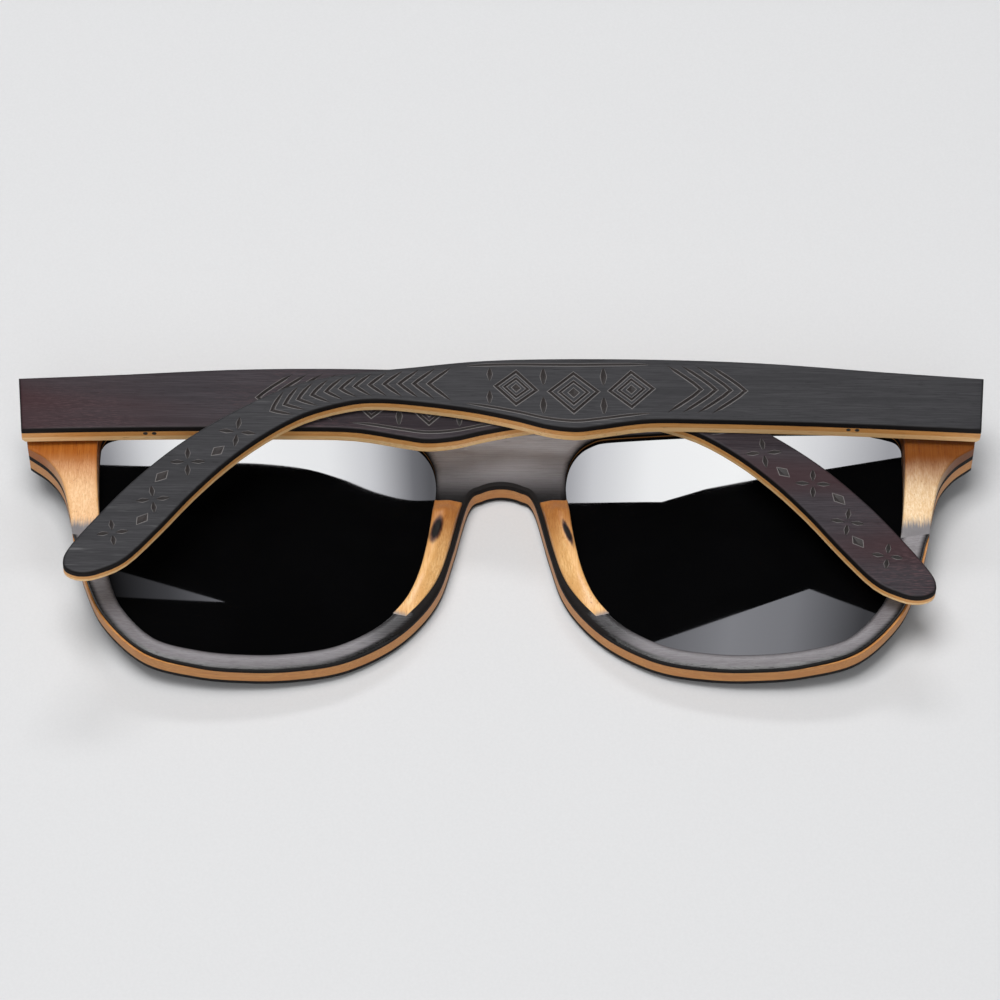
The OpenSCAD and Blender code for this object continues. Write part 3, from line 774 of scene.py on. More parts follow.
def lens_shape(loop):
    low_x, high_x = min(p.x for p in loop) + LENS_TRIM, max(p.x for p in loop) - LENS_TRIM
    verts, faces = [], []
    for i in range(LENS_STEPS + 1):
        x = low_x + (high_x - low_x) * i / LENS_STEPS
        ys = [a.y + (b.y - a.y) * (x - a.x) / (b.x - a.x) for a, b in around(loop)
              if (a.x > x) != (b.x > x)]
        near, far = bent_z(x, FRONT_PLY_T), bent_z(x, LENS_BACK)
        verts += [(x, min(ys), near), (x, max(ys), near), (x, max(ys), far), (x, min(ys), far)]
        if i:
            a, b = 4 * (i - 1), 4 * i
            faces += [(a + k, a + (k + 1) % 4, b + (k + 1) % 4, b + k) for k in range(4)]
    return verts, faces + [(0, 1, 2, 3), (b, b + 1, b + 2, b + 3)], {}


# Plain smooth normals mirror the light without ripples, so the lenses have no modifier
lens_loop = grown(opening, LENS_GROWN)
for side, sign in SIDES:
    loop = lens_loop if sign > 0 else mirrored(lens_loop)
    ob = new_piece(side + "_lens_polished", lens_shape(loop), "front", [side + "_lens"])
    ob.modifiers.clear()
    dress(ob, lens_mat)

# Nose pads: a soft ridge that runs out on the rim

# The ridge's distance from the nose side, how far it nears it lower down, its roundness and its two slopes
RIDGE_IN, RIDGE_NEARS, RIDGE_NEARS_FROM, RIDGE_R, RIDGE_FALL, RIDGE_LEAN = 1.75, 0.6, 10.0, 0.14, 0.5, 0.36
# Share of a pad's length where it starts to run out, and of its height at its upper end
RUN_OUT, UPPER_END = 0.62, 0.42
PAD_LOW, PAD_GAP, PAD_GRID, PAD_ROUND = -19.0, 0.6, 0.5, 0.3


def pad_top(x, y):
    along = along_pad(x, y)
    across = nose_gap(x, y) - pad_inset(x, y) - RIDGE_IN + RIDGE_NEARS * step(along, RIDGE_NEARS_FROM, PAD_L)
    ridge = math.hypot(across, RIDGE_R) - RIDGE_R
    rise = PAD_H - PAD_SLOPE * along - RIDGE_FALL * ridge + RIDGE_LEAN * across
    rise *= 1 - step(along, RUN_OUT * PAD_L, PAD_L)
    rise *= UPPER_END + (1 - UPPER_END) * step(PAD_TOP - y, 0, PAD_RAMP)
    return bent_z(x, FRONT_T) + max(rise, THIN)


def cut_at_top(points):
    """The part of a line under the pad's upper end, from its top down, and over the pad's lower end."""
    points = sorted(points, key=lambda p: -p.y)
    over = [p for p in points if p.y > PAD_TOP][-1]
    under = [p for p in points if p.y <= PAD_TOP]
    first = over + (under[0] - over) * ((over.y - PAD_TOP) / (over.y - under[0].y))
    return [first] + [p for p in under if along_pad(p.x, p.y) < PAD_L]


def pad_loop():
    """Outline of the right pad: its lens side down and its nose side up."""
    lens_side = [p for p in opening if p.x < LENS_X - 5 and PAD_LOW < p.y < PAD_TOP + 3]
    nose_side = []
    for a, p, b in zip(nose_edge, nose_edge[1:], nose_edge[2:]):
        n = left_normal(b - a)
        nose_side.append(p + n * (pad_inset(p.x, p.y) if n.x > 0 else -pad_inset(p.x, p.y)))
    return cut_at_top(lens_side) + cut_at_top(nose_side)[::-1]


def evenly(loop, gap):
    out = []
    for a, b in around(loop):
        n = max(1, round((b - a).length / gap))
        out += [a + (b - a) * (i / n) for i in range(n)]
    return out


def glued_piece(name, loop, top, sign, radius, grid):
    """Light wooden piece on the back ply, from its outline on the right and the height of its top there."""
    loop = loop if sign > 0 else mirrored(loop)
    built = slab(loop, [], lambda x, y: bent_z(x, FRONT_T) - SEAT, lambda x, y: top(abs(x), y), flush,
                 rounded(radius, radius), grid)
    return new_piece(name + "_sanded", built, "front", [name])


# Heights between which the pads darken to the top, their streaky ends, from and to, and how streaky these are
PAD_DARK, PAD_FEATHER, PAD_RAGGED = (-4.0, 6.0), (0.1, 1.5), 0.9
# Each pad's dark mark: its centre, its lean in degrees and its radii
pad_marks = {"left": ((-9.6, 0.5), -16, (0.7, 2.0)), "right": ((9.9, -0.1), 19, (0.4, 1.9))}
pad_outline = evenly(pad_loop(), PAD_GAP)
for side, sign in SIDES:
    ob = glued_piece(side + "_nose_pad", pad_outline, pad_top, sign, PAD_ROUND, PAD_GRID)
    mat = wood("Light wood pad " + side, MAPLE_DEEP, rgb(0.66, 0.34, 0.11), rgb(0.86, 0.54, 0.24), along="Y",
               rough=(0.32, 0.46))
    centre, lean, radii = pad_marks[side]
    marked(mat, centre, math.radians(lean), radii)
    graded(mat, *PAD_DARK, rgb(0.55, 0.37, 0.22))
    way = (-sign * math.sin(PAD_LEAN), math.cos(PAD_LEAN), 0)
    end = PAD_TOP * math.cos(PAD_LEAN) - PAD_X * math.sin(PAD_LEAN) - PAD_L
    feathered(mat, way, end + PAD_FEATHER[0], end + PAD_FEATHER[1], PAD_RAGGED)
    dress(ob, mat)

# End blocks: flat under the hinge, run out on the rim

BLOCK_IN = FRONT_W / 2 - LENS_X - LENS_W / 2 + 3
SLOPE_Y = BUTT_LOW - 2.4 + SHIFT_Y
RUN, RUN_UNDER = 12.0, 0.1
BLOCK_GAP, BLOCK_GRID, BLOCK_ROUND = 0.8, 0.9, 0.32
run_out_z = bent_z(LENS_X + LENS_W / 2, FRONT_T)
side_knots = [V(0, 0), V(1 / 3, 0.25), V(2 / 3, 0.68), V(1, 1)]
side_curve = line_curve(side_knots, 16)
# Room for the hinge, around its axis: along X, Y and Z
POCKET = ((-0.72, 6.82), (-2.42, 2.42), (-2.82, -1.2))
POCKET_FACES = [(0, 1, 3, 2), (4, 6, 7, 5), (0, 4, 5, 1), (2, 3, 7, 6), (0, 2, 6, 4), (1, 5, 7, 3)]
hinge_left = Matrix.Translation((-HINGE.x, HINGE.y, HINGE.z)) @ Matrix.Rotation(PANTO, 4, "Z")


def block_top(x, y):
    share = min(1.0, max(0.0, (SLOPE_Y - y) / RUN))
    z = BLOCK_Z - at_x(side_curve, share).y * (BLOCK_Z - run_out_z + RUN_UNDER)
    return max(z, bent_z(x, FRONT_T) + THIN)


def block_loop():
    """Outline of the right block: its upper inner corner, then its outer side and its lens side."""
    inner_x = FRONT_W / 2 - BLOCK_IN
    low = SLOPE_Y - RUN
    corner = V(inner_x, max(p.y for p in half_outline if abs(p.x - inner_x) < 1.5))
    outer = [p for p in half_outline if p.x > inner_x + 0.4 and p.y > low]
    lens_side = [p for p in opening if p.x > inner_x and p.y > low]
    lens_side.sort(key=lambda p: math.atan2(p.y + 20, p.x - LENS_X))
    return [corner] + outer + lens_side


def cut_pocket(ob, sign):
    """Takes the room for the hinge out of a block."""
    corners = [hinge_left @ Vector((x, y, z)) for x in POCKET[0] for y in POCKET[1] for z in POCKET[2]]
    corners = [Vector((c.x * -sign, c.y, c.z)) * MM for c in corners]
    mesh = bpy.data.meshes.new("pocket")
    mesh.from_pydata(corners, [], POCKET_FACES)
    tool = linked("pocket", mesh)
    cleaned(mesh)
    cut = ob.modifiers.new("Pocket", "BOOLEAN")
    cut.operation, cut.object, cut.solver = "DIFFERENCE", tool, "EXACT"
    even = ob.modifiers["Even normals"]
    even.show_viewport = False
    bpy.context.view_layer.update()
    ready = ob.evaluated_get(bpy.context.evaluated_depsgraph_get())
    ob.data = bpy.data.meshes.new_from_object(ready)
    ob.modifiers.remove(cut)
    even.show_viewport = True
    bpy.data.objects.remove(tool)


# Heights between which the blocks darken to the top, partly a deeper tone of the wood and partly painted
# shadow under the temples, their streaky ends, and how streaky these are
BLOCK_DARK, BLOCK_FEATHER, BLOCK_RAGGED = (4.5, 12.8), (-1.1, 0.9), 3.0
# Each block's wood: its body, its light streaks, the tone that deepens it to the top, and how much lower.
# Both bodies are painted lighter than the pads' wood, a painted sheen, and the right block's tone holds a
# darker painted shadow
block_looks = {"left": (rgb(0.68, 0.37, 0.15), rgb(0.86, 0.57, 0.31), rgb(0.46, 0.22, 0.045), 0.0),
               "right": (rgb(0.68, 0.44, 0.22), rgb(0.85, 0.66, 0.43), rgb(0.24, 0.095, 0.015), 1.1)}
block_outline = evenly(block_loop(), BLOCK_GAP)
for side, sign in SIDES:
    ob = glued_piece(side + "_end_block", block_outline, block_top, sign, BLOCK_ROUND, BLOCK_GRID)
    cut_pocket(ob, sign)
    mid, pale, tone, drop = block_looks[side]
    mat = wood("Light wood block " + side, MAPLE_DEEP, mid, pale, along="Y", rough=(0.34, 0.5), specular=0.25)
    graded(mat, BLOCK_DARK[0] - drop, BLOCK_DARK[1] - drop, tone)
    feathered(mat, (0, 1, 0), *BLOCK_FEATHER, BLOCK_RAGGED)
    dress(ob, mat)


# Temples: carved outer plies, laid out around the hinge with X along the temple

TOP, LOW = TEMPLE_H / 2, -TEMPLE_H / 2
NECK = LOW + 6.6


def butt_x(y):
    return -BUTT_D / math.cos(PANTO) - y * math.tan(PANTO)


def on_bar(rows, base):
    """Points of the straight part: shares of its length, with heights over a base."""
    return [V(butt_x(0) + share * BEND_AT, base + y) for share, y in rows]


def on_ear(rows):
    """Points of the ear piece: shares of its run and of its drop, from the neck."""
    return [V(butt_x(0) + BEND_AT + share * EAR_RUN, NECK + drop * EAR_DROP) for share, drop in rows]


upper_bar = [V(butt_x(TOP), TOP)] + on_bar([(0.15, 0.36 * SWELL), (0.35, 0.86 * SWELL), (0.55, SWELL),
                                            (0.76, 0.8 * SWELL), (0.9, 0.2 * SWELL)], TOP)
upper_ear = on_ear([(0, 0.065), (0.2, 0), (0.4, -0.135), (0.6, -0.315), (0.775, -0.53), (0.91, -0.74),
                    (0.985, -0.875)])
ear_tip = on_ear([(1, -0.94), (0.985, -0.98), (0.935, -1), (0.87, -0.985)])
lower_ear = on_ear([(0.775, -0.92), (0.665, -0.765), (0.545, -0.575), (0.42, -0.405), (0.29, -0.265),
                    (0.15, -0.155), (0, -0.09)])
lower_bar = on_bar([(0.955, 4.1), (0.895, 3.8), (0.805, 2.6), (0.735, 1.1), (0.685, 0.95 - 0.65 * DIP),
                    (0.64, 1.1 - DIP), (0.6, 1 - 0.65 * DIP), (0.525, 1), (0.43, 1.1), (0.28, 0.9),
                    (0.14, 0.5)], LOW) + [V(butt_x(LOW), LOW)]
temple_knots = upper_bar + upper_ear + ear_tip + lower_ear + lower_bar
temple_outline = line_curve(temple_knots, 9)
upper_curve = line_curve(upper_bar + upper_ear, 12)
lower_curve = line_curve(list(reversed(lower_ear + lower_bar)), 12)


def lengths(curve):
    out = [0.0]
    for a, b in zip(curve, curve[1:]):
        out.append(out[-1] + (b - a).length)
    return out


def at_length(curve, share):
    run = lengths(curve)
    want = share * run[-1]
    for i in range(len(curve) - 1):
        if run[i] <= want <= run[i + 1]:
            return curve[i] + (curve[i + 1] - curve[i]) * ((want - run[i]) / (run[i + 1] - run[i]))
    return curve[-1]


# Pairs of points on the upper and lower edges, at equal places along X and, past the bend, along the edges
EAR_FROM, BAR_PAIRS, EAR_PAIRS = 93.0, 60, 30
bar_places = [i * EAR_FROM / BAR_PAIRS for i in range(BAR_PAIRS + 1)]
pairs = [(at_x(upper_curve, x), at_x(lower_curve, x)) for x in bar_places]
tails = [[pairs[-1][k]] + [p for p in (upper_curve, lower_curve)[k] if p.x > EAR_FROM] for k in (0, 1)]
pairs += [tuple(at_length(tail, i / EAR_PAIRS) for tail in tails) for i in range(1, EAR_PAIRS + 1)]
spine = [(a + b) / 2 for a, b in pairs]
spine_run = lengths(spine)
ribs = [(a - b) / 2 for a, b in pairs]


def on_temple(s, across=0.0, share=0.0):
    """Point at a distance along the temple, moved across by millimetres and by a share of its half height."""
    for i in range(len(spine) - 1):
        if spine_run[i] <= s <= spine_run[i + 1] or i == len(spine) - 2:
            f = (s - spine_run[i]) / (spine_run[i + 1] - spine_run[i])
            c, h = spine[i].lerp(spine[i + 1], f), ribs[i].lerp(ribs[i + 1], f)
            return c + h * share + h.normalized() * across


# Carving: V-cut lines and chips. Each point has its place, its depth and 1 where it is the lip of a cut
cut_points, cut_lines = [], []
LIP_W, LIP_H, CHIP_DEPTH = 0.18, 0.04, 0.3


def add_path(points, closed):
    start, m = len(cut_points), len(points)
    cut_points.extend(points)
    cut_lines.extend((start + i, start + (i + 1) % m) for i in range(m if closed else m - 1))
    return start


def cut_line(path, width, closed=False, taper=1.6):
    """A V-cut along a path, with a lip on both sides. An open one narrows to nothing at both ends."""
    m = len(path)
    run = lengths(path)
    rows = {}
    for i, p in enumerate(path):
        before = path[i] - path[i - 1] if closed or i else path[1] - path[0]
        after = path[(i + 1) % m] - path[i] if closed or i < m - 1 else before
        a, b = left_normal(before), left_normal(after)
        n = (a + b).normalized()
        n = n / max(0.45, n.dot(a))
        ease = 1.0 if closed else min(1.0, min(run[i], run[-1] - run[i]) / taper) ** 0.6
        half = width / 2 * ease
        for side in (-1, 1):
            rows.setdefault((side, "lip"), []).append((p + n * side * half, -LIP_H * ease, 1.0))
            rows.setdefault((side, "out"), []).append((p + n * side * (half + LIP_W * ease), 0.0, 0.0))
        rows.setdefault("low", []).append((p, width * ease / 2, 0.0))
    if closed:
        for row in rows.values():
            add_path(row, True)
    else:
        ends = [(path[0], 0.0, 0.0), (path[-1], 0.0, 0.0)]
        c = add_path([ends[0]] + rows.pop("low")[1:-1] + [ends[1]], False)
        for row in rows.values():
            s = add_path(row[1:-1], False)
            cut_lines.extend([(c, s), (s + m - 3, c + m - 1)])


def chip(corners):
    """A chip with flat sides that meet in its middle."""
    middle = sum(corners, V(0, 0)) / len(corners)
    s = add_path([(p, -LIP_H, 1.0) for p in corners], True)
    add_path([(p + (p - middle).normalized() * 1.4 * LIP_W, 0.0, 0.0) for p in corners], True)
    c = add_path([(middle, CHIP_DEPTH, 0.0)], False)
    cut_lines.extend((c, s + i) for i in range(len(corners)))


def straight(a, b, n):
    return [a + (b - a) * (i / n) for i in range(n + 1)]


def half_height(s):
    return (on_temple(s, 0, 1) - on_temple(s)).length


def lozenge(s, length, share):
    return [on_temple(s - length), on_temple(s, 0, share), on_temple(s + length), on_temple(s, 0, -share)]


# Share of the half height that the panel takes up
PANEL_EDGE = 0.8
# Chevrons: how many, where the first one's tip lies, which way they follow, their pitch, reach and width
CHEVRONS, CHEVRON_PITCH, CHEVRON_REACH, CHEVRON_W = ((4, 33.5, 1), (12, 105.0, -1)), 2.2, 5.2, 0.55
BORDER_FROM, BORDER_L, BORDER_W, BORDER_STEPS = 47.5, 28, 0.45, 60
# Chain of lozenges: its start, the gaps, the least half height it needs, and each ring's size and width
CHAIN_FROM, CHAIN_GAP, CHAIN_ROOM, CHAIN_RINGS = 50.5, 1.9, 4.8, ((1.0, 0.5), (0.58, 0.4))
LOZENGE_L, LOZENGE_H, LEAF_W = 0.54, 0.55, 0.9
# Ear piece: places of the rosettes and of the small lozenges between them
ROSETTES, ROSETTE_R, ROSETTE_EYE, ROSETTE_W = (111.5, 120.5, 129.0, 137.0), 2.8, 0.45, 0.8
SMALL_LOZENGES, SMALL_L, SMALL_H, SMALL_SHIFT = (116.0, 124.8, 133.0), 1.3, 0.75, 0.34


def carve_chevrons():
    """Nested chevrons at both ends of the panel."""
    for count, apex, way in CHEVRONS:
        for k in range(count):
            tip = apex + way * CHEVRON_PITCH * k
            reach = way * min(CHEVRON_REACH, 0.95 * half_height(tip))
            shares = [1 - i / 4 for i in range(9)]
            arm = [on_temple(tip + reach * abs(share) ** 1.15, 0, PANEL_EDGE * share) for share in shares]
            cut_line(arm, CHEVRON_W, taper=2.0)


def carve_borders():
    """A line along each side of the panel."""
    for side in (-1, 1):
        stations = [BORDER_FROM + i * BORDER_L / BORDER_STEPS for i in range(BORDER_STEPS + 1)]
        cut_line([on_temple(s, 0, side * PANEL_EDGE) for s in stations], BORDER_W, taper=3.0)


def carve_chain():
    """A chain of double lozenges with leaves between them."""
    s = CHAIN_FROM
    while half_height(s) > CHAIN_ROOM:
        length = LOZENGE_L * half_height(s)
        for size, width in CHAIN_RINGS:
            ring = lozenge(s, length * size, LOZENGE_H * size)
            sides = [straight(a, b, 5)[:-1] for a, b in around(ring)]
            cut_line(sum(sides, []), width, closed=True)
        chip(lozenge(s, 0.23 * length, 0.14))
        middle = s + length + CHAIN_GAP / 2
        for side in (-1, 1):
            leaf = [on_temple(middle, 0, side * (0.17 + 0.53 * i / 10)) for i in range(11)]
            cut_line(leaf, LEAF_W, taper=1.6)
        s = s + length + CHAIN_GAP + LOZENGE_L * half_height(s + 2 * length)


def carve_ear():
    """Rosettes of four leaves and small lozenges along the ear piece, to one side and the other by turns."""
    for k, s in enumerate(ROSETTES):
        side = 1 if k % 2 else -1
        middle, size = on_temple(s, 0, 0.1 * side), ROSETTE_R - 0.15 * k
        ahead = (on_temple(s + 0.5) - on_temple(s - 0.5)).normalized()
        for q in range(4):
            way = Matrix.Rotation(math.radians(45 + 90 * q), 2) @ ahead
            leaf = [middle + way * (ROSETTE_EYE + (size - ROSETTE_EYE) * i / 8) for i in range(9)]
            cut_line(leaf, ROSETTE_W, taper=size / 2)
    for k, s in enumerate(SMALL_LOZENGES):
        at = SMALL_SHIFT if k % 2 else -SMALL_SHIFT
        chip([on_temple(s - SMALL_L, 0, at), on_temple(s, SMALL_H, at), on_temple(s + SMALL_L, 0, at),
              on_temple(s, -SMALL_H, at)])


carve_chevrons()
carve_borders()
carve_chain()
carve_ear()


def folded(tilt):
    return hinge_left @ Matrix.Rotation(tilt, 4, "Y") @ Matrix.Rotation(-PANTO, 4, "Z")


places = {"left": folded(TILT), "right": Matrix.Diagonal((-1, 1, 1, 1)) @ folded(-TILT)}
built = slab(temple_outline, [], lambda x, y: OUTER_LOW, lambda x, y: OUTER_HIGH, flush, rounded(0.45, 0.32),
             0, (cut_points, cut_lines))
# Heights between which a face counts as the floor or a side of a cut
CUT_LOW, CUT_HIGH = OUTER_HIGH - 0.6, OUTER_HIGH - 0.03
for side, place in places.items():
    ob = new_piece(side + "_outer_ply_carved", built, side + "_temple", [side + "_outer_ply"], place)
    dress(ob, ebony_warm if side == "left" else ebony_temple, burn_and_shade_black, carved)
    dark_walls(ob)
    unfolded = place.inverted()
    for face in ob.data.polygons:
        corners = [unfolded @ (ob.data.vertices[i].co / MM) for i in face.vertices]
        middle = sum((V(c.x, c.y) for c in corners), V(0, 0)) / len(corners)
        if CUT_LOW < min(c.z for c in corners) < CUT_HIGH and gap_to(middle, temple_outline) > 0.5:
            face.material_index = 2

# The ear pieces are sanded thinner on the inside

THIN_FROM, THIN_TO = 55.0, 135.0


def thinned(ob, place, low, high):
    """Moves a ply to the outer one along the ear piece. low and high pair a height with its full move."""
    tree = bpy.data.node_groups.new(ob.name + "_thinned", "GeometryNodeTree")
    for way in ("INPUT", "OUTPUT"):
        tree.interface.new_socket("Geometry", in_out=way, socket_type="NodeSocketGeometry")
    at = node(tree, "GeometryNodeInputPosition").outputs[0]
    from_hinge = vectors(tree, "SUBTRACT", at, place.translation * MM)["Vector"]

    def along(axis, span, to):
        reach = vectors(tree, "DOT_PRODUCT", from_hinge, axis)["Value"]
        return spread(tree, reach, *span, *to, "LINEAR")

    across = place.to_3x3().col[2]
    length = along(place.to_3x3().col[0], (THIN_FROM * MM, THIN_TO * MM), (0.0, 1.0))
    height = along(across, (low[0] * MM, high[0] * MM), (low[1] * MM, high[1] * MM))
    shift = {0: across, "Scale": times(tree, length, height)}
    shift = node(tree, "ShaderNodeVectorMath", shift, operation="SCALE").outputs["Vector"]
    move = {"Geometry": node(tree, "NodeGroupInput").outputs[0], "Offset": shift}
    node(tree, "NodeGroupOutput", {0: node(tree, "GeometryNodeSetPosition", move).outputs["Geometry"]})
    ob.modifiers.new("Thinned", "NODES").node_group = tree


# Materials of the solids that stay as they are
INNER_LOW, MIDDLE_LOW, INNER_MOVE, MIDDLE_MOVE = -0.85, 0.15, 1.0, 0.4
for name, ob in frame["nodes"].items():
    if name.endswith("middle_ply"):
        dress(ob, amber)
        thinned(ob, places[name.split("_")[0]], (MIDDLE_LOW, MIDDLE_MOVE), (OUTER_LOW, 0.0))
    elif name.endswith("inner_ply"):
        dress(ob, maple_long)
        thinned(ob, places[name.split("_")[0]], (INNER_LOW, INNER_MOVE), (MIDDLE_LOW, MIDDLE_MOVE))
    elif not name.endswith(("_lens", "_ply", "_pad", "_block")):
        dress(ob, dark_steel if "brads" in ob.name else steel_mat)

# Springs: each is copied as a steel coil, which stands in place of its spring
for side, sign in SIDES:
    coil = linked(side + "_spring_coil", frame["nodes"][side + "_spring"].data.copy())
    dress(coil, steel_mat)
    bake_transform(coil)
    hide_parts(side + "_spring")

# Stage: camera, floor and lights

CAMERA_AT = Vector((-0.15, -365.4, 499.1))
CAMERA_TURN, CAMERA_LENS, SENSOR, PICTURE = math.radians(37), 148.65, 36.0, 1000
camera = bpy.data.cameras.new("camera")
camera.sensor_width, camera.lens = SENSOR, CAMERA_LENS
camera_ob = linked("camera", camera)
camera_ob.location = CAMERA_AT * MM
camera_ob.rotation_euler = (CAMERA_TURN, 0, 0)
bpy.context.scene.camera = camera_ob
bpy.context.scene.view_settings.view_transform = "Standard"


def stage_piece(name, corners, mat, shown):
    mesh = bpy.data.meshes.new(name)
    mesh.from_pydata([Vector(c) * MM for c in corners], [], [tuple(range(len(corners)))])
    ob = linked(name, mesh)
    dress(ob, mat)
    ob.visible_camera = shown


def floor_mat():
    mat = bpy.data.materials.new("Pale floor")
    tree, looks = nodes_of(mat)
    noise = streaks(tree, (2500, 2500, 2500), 2.0, 0.5)
    put(tree, mix(tree, noise, rgb(0.6, 0.6, 0.605), rgb(0.64, 0.64, 0.645)), looks["Base Color"])
    put(tree, 0.8, looks["Roughness"])
    put(tree, 0.2, looks["Specular IOR Level"])
    return mat


FLOOR_REACH, FLOOR_Z = 3000, -0.1
floor_corners = [(-1, -1), (1, -1), (1, 1), (-1, 1)]
floor_points = [(x * FLOOR_REACH, y * FLOOR_REACH, FLOOR_Z) for x, y in floor_corners]
stage_piece("floor", floor_points, floor_mat(), True)


# A softbox and two wedges of light behind the glasses, which the lenses mirror, on one sloping plane.
# HALF_SPAN is the half width on it over which their brightness is graded
HALF_SPAN = 120
PANEL_AT = Vector((0, 480, 640))
PANEL_X, PANEL_Y = Vector((1, 0, 0)), Vector((0, 0.8, -0.6))
PANEL_OUT = PANEL_X.cross(PANEL_Y)
GLOW = 17.0


def mirrored_at(u, v):
    """Place on the panel that the back of a lens mirrors at a point of the picture."""
    focal = CAMERA_LENS / SENSOR * PICTURE
    ray = Vector(((u - PICTURE / 2) / focal, (PICTURE / 2 - v) / focal, -1))
    ray = (Matrix.Rotation(CAMERA_TURN, 3, "X") @ ray).normalized()
    start = CAMERA_AT - Vector((0, 0, WRAP_R))
    a = ray.x ** 2 + ray.z ** 2
    b = 2 * (start.x * ray.x + start.z * ray.z)
    c = start.x ** 2 + start.z ** 2 - (WRAP_R - LENS_BACK) ** 2
    hit = CAMERA_AT + ray * ((-b + math.sqrt(b * b - 4 * a * c)) / (2 * a))
    away = ray.reflect(Vector((-hit.x, 0, WRAP_R - hit.z)).normalized())
    far = hit + away * ((PANEL_AT - hit).dot(PANEL_OUT) / away.dot(PANEL_OUT)) - PANEL_AT
    return far.dot(PANEL_X), far.dot(PANEL_Y)


def panel(name, points, mat, behind=0.0):
    at = PANEL_AT + PANEL_OUT * behind
    stage_piece(name, [at + PANEL_X * x + PANEL_Y * y for x, y in points], mat, False)


def emission(name, stops):
    """Light whose brightness runs along X. Each stop pairs a place on the panel with a brightness."""
    mat = bpy.data.materials.new(name)
    mat.use_nodes = True
    tree = mat.node_tree
    tree.nodes.clear()
    along = spread(tree, object_xyz(tree)["X"], -HALF_SPAN * MM, HALF_SPAN * MM, kind="LINEAR")
    ramp = node(tree, "ShaderNodeValToRGB", {"Fac": along})
    elements = ramp.color_ramp.elements
    elements.remove(elements[1])
    for i, (x, grey) in enumerate(sorted(stops)):
        at = (x + HALF_SPAN) / (2 * HALF_SPAN)
        element = elements.new(at) if i else elements[0]
        element.position, element.color = at, rgb(grey, grey * 1.01, grey * (1.12 - 0.12 * min(1.0, grey)))
    glow = node(tree, "ShaderNodeEmission", {"Color": ramp.outputs["Color"], "Strength": GLOW})
    node(tree, "ShaderNodeOutputMaterial", {"Surface": glow.outputs[0]})
    return mat


def seen(row, stops):
    """Stops on the panel, given by the columns of the picture where the lenses show them."""
    return [(mirrored_at(u, row)[0], grey) for u, grey in stops]


# Places in the picture, in pixels, where the lenses show the softbox's near edge and the wedges' outlines
EDGE_LEFT = [(103, 465), (160, 466), (238, 463), (300, 468), (341, 479), (374, 492), (407, 500), (437, 500)]
EDGE_RIGHT = [(568, 503), (640, 502), (662, 502), (706, 489), (769, 477), (827, 469), (900, 457)]
WEDGE_LEFT = [(100, 565), (225, 602), (100, 596)]
WEDGE_RIGHT = [(650, 644), (809, 589), (874, 614), (870, 670), (650, 670)]
# Columns of the picture, with the brightness to show there, along one row each
SOFTBOX_ROW, WEDGE_LEFT_ROW, WEDGE_RIGHT_ROW = 470, 590, 630
SOFTBOX_STOPS = [(885, 0.3), (820, 0.6), (740, 0.85), (650, 0.8), (595, 0.55), (568, 0.3), (545, 0.7),
                 (500, 0.9), (460, 0.6), (434, 0.06), (410, 0.15), (372, 0.54), (330, 0.75), (200, 0.85),
                 (150, 0.6), (108, 0.22)]
WEDGE_LEFT_STOPS = [(112, 0.0), (130, 0.015), (170, 0.045), (220, 0.12)]
WEDGE_RIGHT_STOPS = [(665, 0.12), (730, 0.2), (790, 0.17), (860, 0.04)]
# The softbox's half width and far end, and the brightness that it ends in on both sides
SOFTBOX_X, SOFTBOX_FAR, SOFTBOX_END = 170, 120, 0.9
END_STOP = 100
# The black flag behind it: its half width, its ends and its distance
FLAG_X, FLAG_NEAR, FLAG_FAR, FLAG_BEHIND = 160, -90, 260, 40

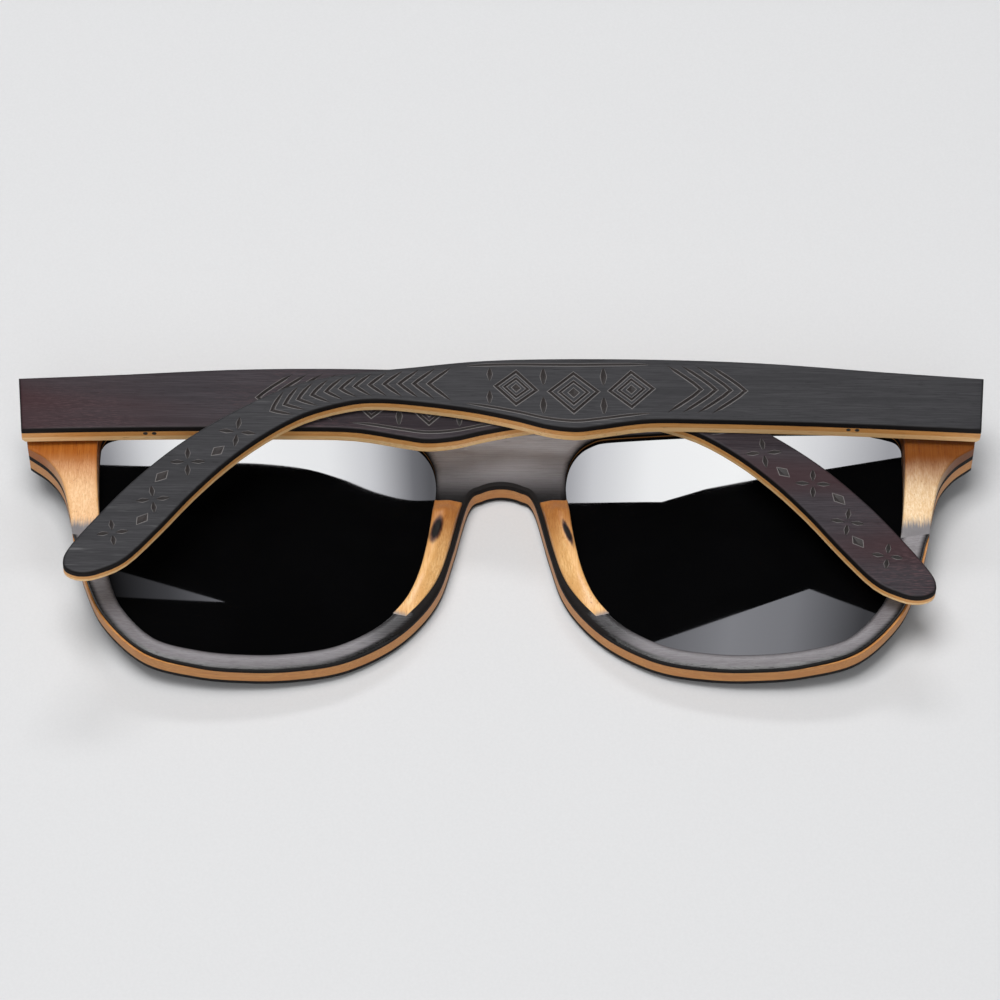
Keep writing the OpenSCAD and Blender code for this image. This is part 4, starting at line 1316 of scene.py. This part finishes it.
edge = list(reversed(EDGE_RIGHT)) + list(reversed(line_curve([V(u, v) for u, v in EDGE_LEFT], 6)))
near_edge = [mirrored_at(u, v) for u, v in edge]
near_edge = [(-SOFTBOX_X, near_edge[0][1])] + near_edge + [(SOFTBOX_X, near_edge[-1][1])]
far_edge = [(SOFTBOX_X, SOFTBOX_FAR), (-SOFTBOX_X, SOFTBOX_FAR)]
stops = [(-END_STOP, SOFTBOX_END)] + seen(SOFTBOX_ROW, SOFTBOX_STOPS) + [(END_STOP, SOFTBOX_END)]
panel("softbox", near_edge + far_edge, emission("Softbox", stops))
panel("wedge_left", [mirrored_at(u, v) for u, v in WEDGE_LEFT],
      emission("Wedge left", seen(WEDGE_LEFT_ROW, WEDGE_LEFT_STOPS)))
panel("wedge_right", [mirrored_at(u, v) for u, v in WEDGE_RIGHT],
      emission("Wedge right", seen(WEDGE_RIGHT_ROW, WEDGE_RIGHT_STOPS)))
flag = bpy.data.materials.new("Black flag")
flag_looks = nodes_of(flag)[1]
flag_looks["Base Color"].default_value = rgb(0, 0, 0)
flag_looks["Roughness"].default_value = 1.0
flag_looks["Specular IOR Level"].default_value = 0.0
panel("flag", [(-FLAG_X, FLAG_NEAR), (FLAG_X, FLAG_NEAR), (FLAG_X, FLAG_FAR), (-FLAG_X, FLAG_FAR)], flag,
      FLAG_BEHIND)


def lamp(name, place, size, power):
    data = bpy.data.lights.new(name, "AREA")
    data.shape, data.size, data.energy = "SQUARE", size, power
    ob = linked(name, data)
    ob.location = place
    ob.rotation_euler = (-Vector(place)).to_track_quat("-Z", "Y").to_euler()


lamp("key", place=(-0.1, -0.08, 1.0), size=0.5, power=8.8)
lamp("fill", place=(0.0, -0.7, 0.7), size=0.6, power=2.1)

world = bpy.context.scene.world = bpy.data.worlds.new("Studio")
world.use_nodes = True
sky = world.node_tree.nodes["Background"].inputs
sky["Color"].default_value = rgb(0.8, 0.82, 0.85)
sky["Strength"].default_value = 0.2

# The photographed lenses mirror the softbox where the folded temples, blocks and hinges would hide it, so
# these stay out of reflections
UNMIRRORED = ("_outer_ply_carved", "_middle_ply", "_inner_ply", "_end_block_sanded", "_slider", "_spring_box",
              "_box_brads", "_spring", "_spring_nut", "_hinge_plate", "_plate_screws", "_pivot_screw")
for ob in bpy.context.scene.objects:
    if ob.name.endswith(UNMIRRORED):
        ob.visible_glossy = False
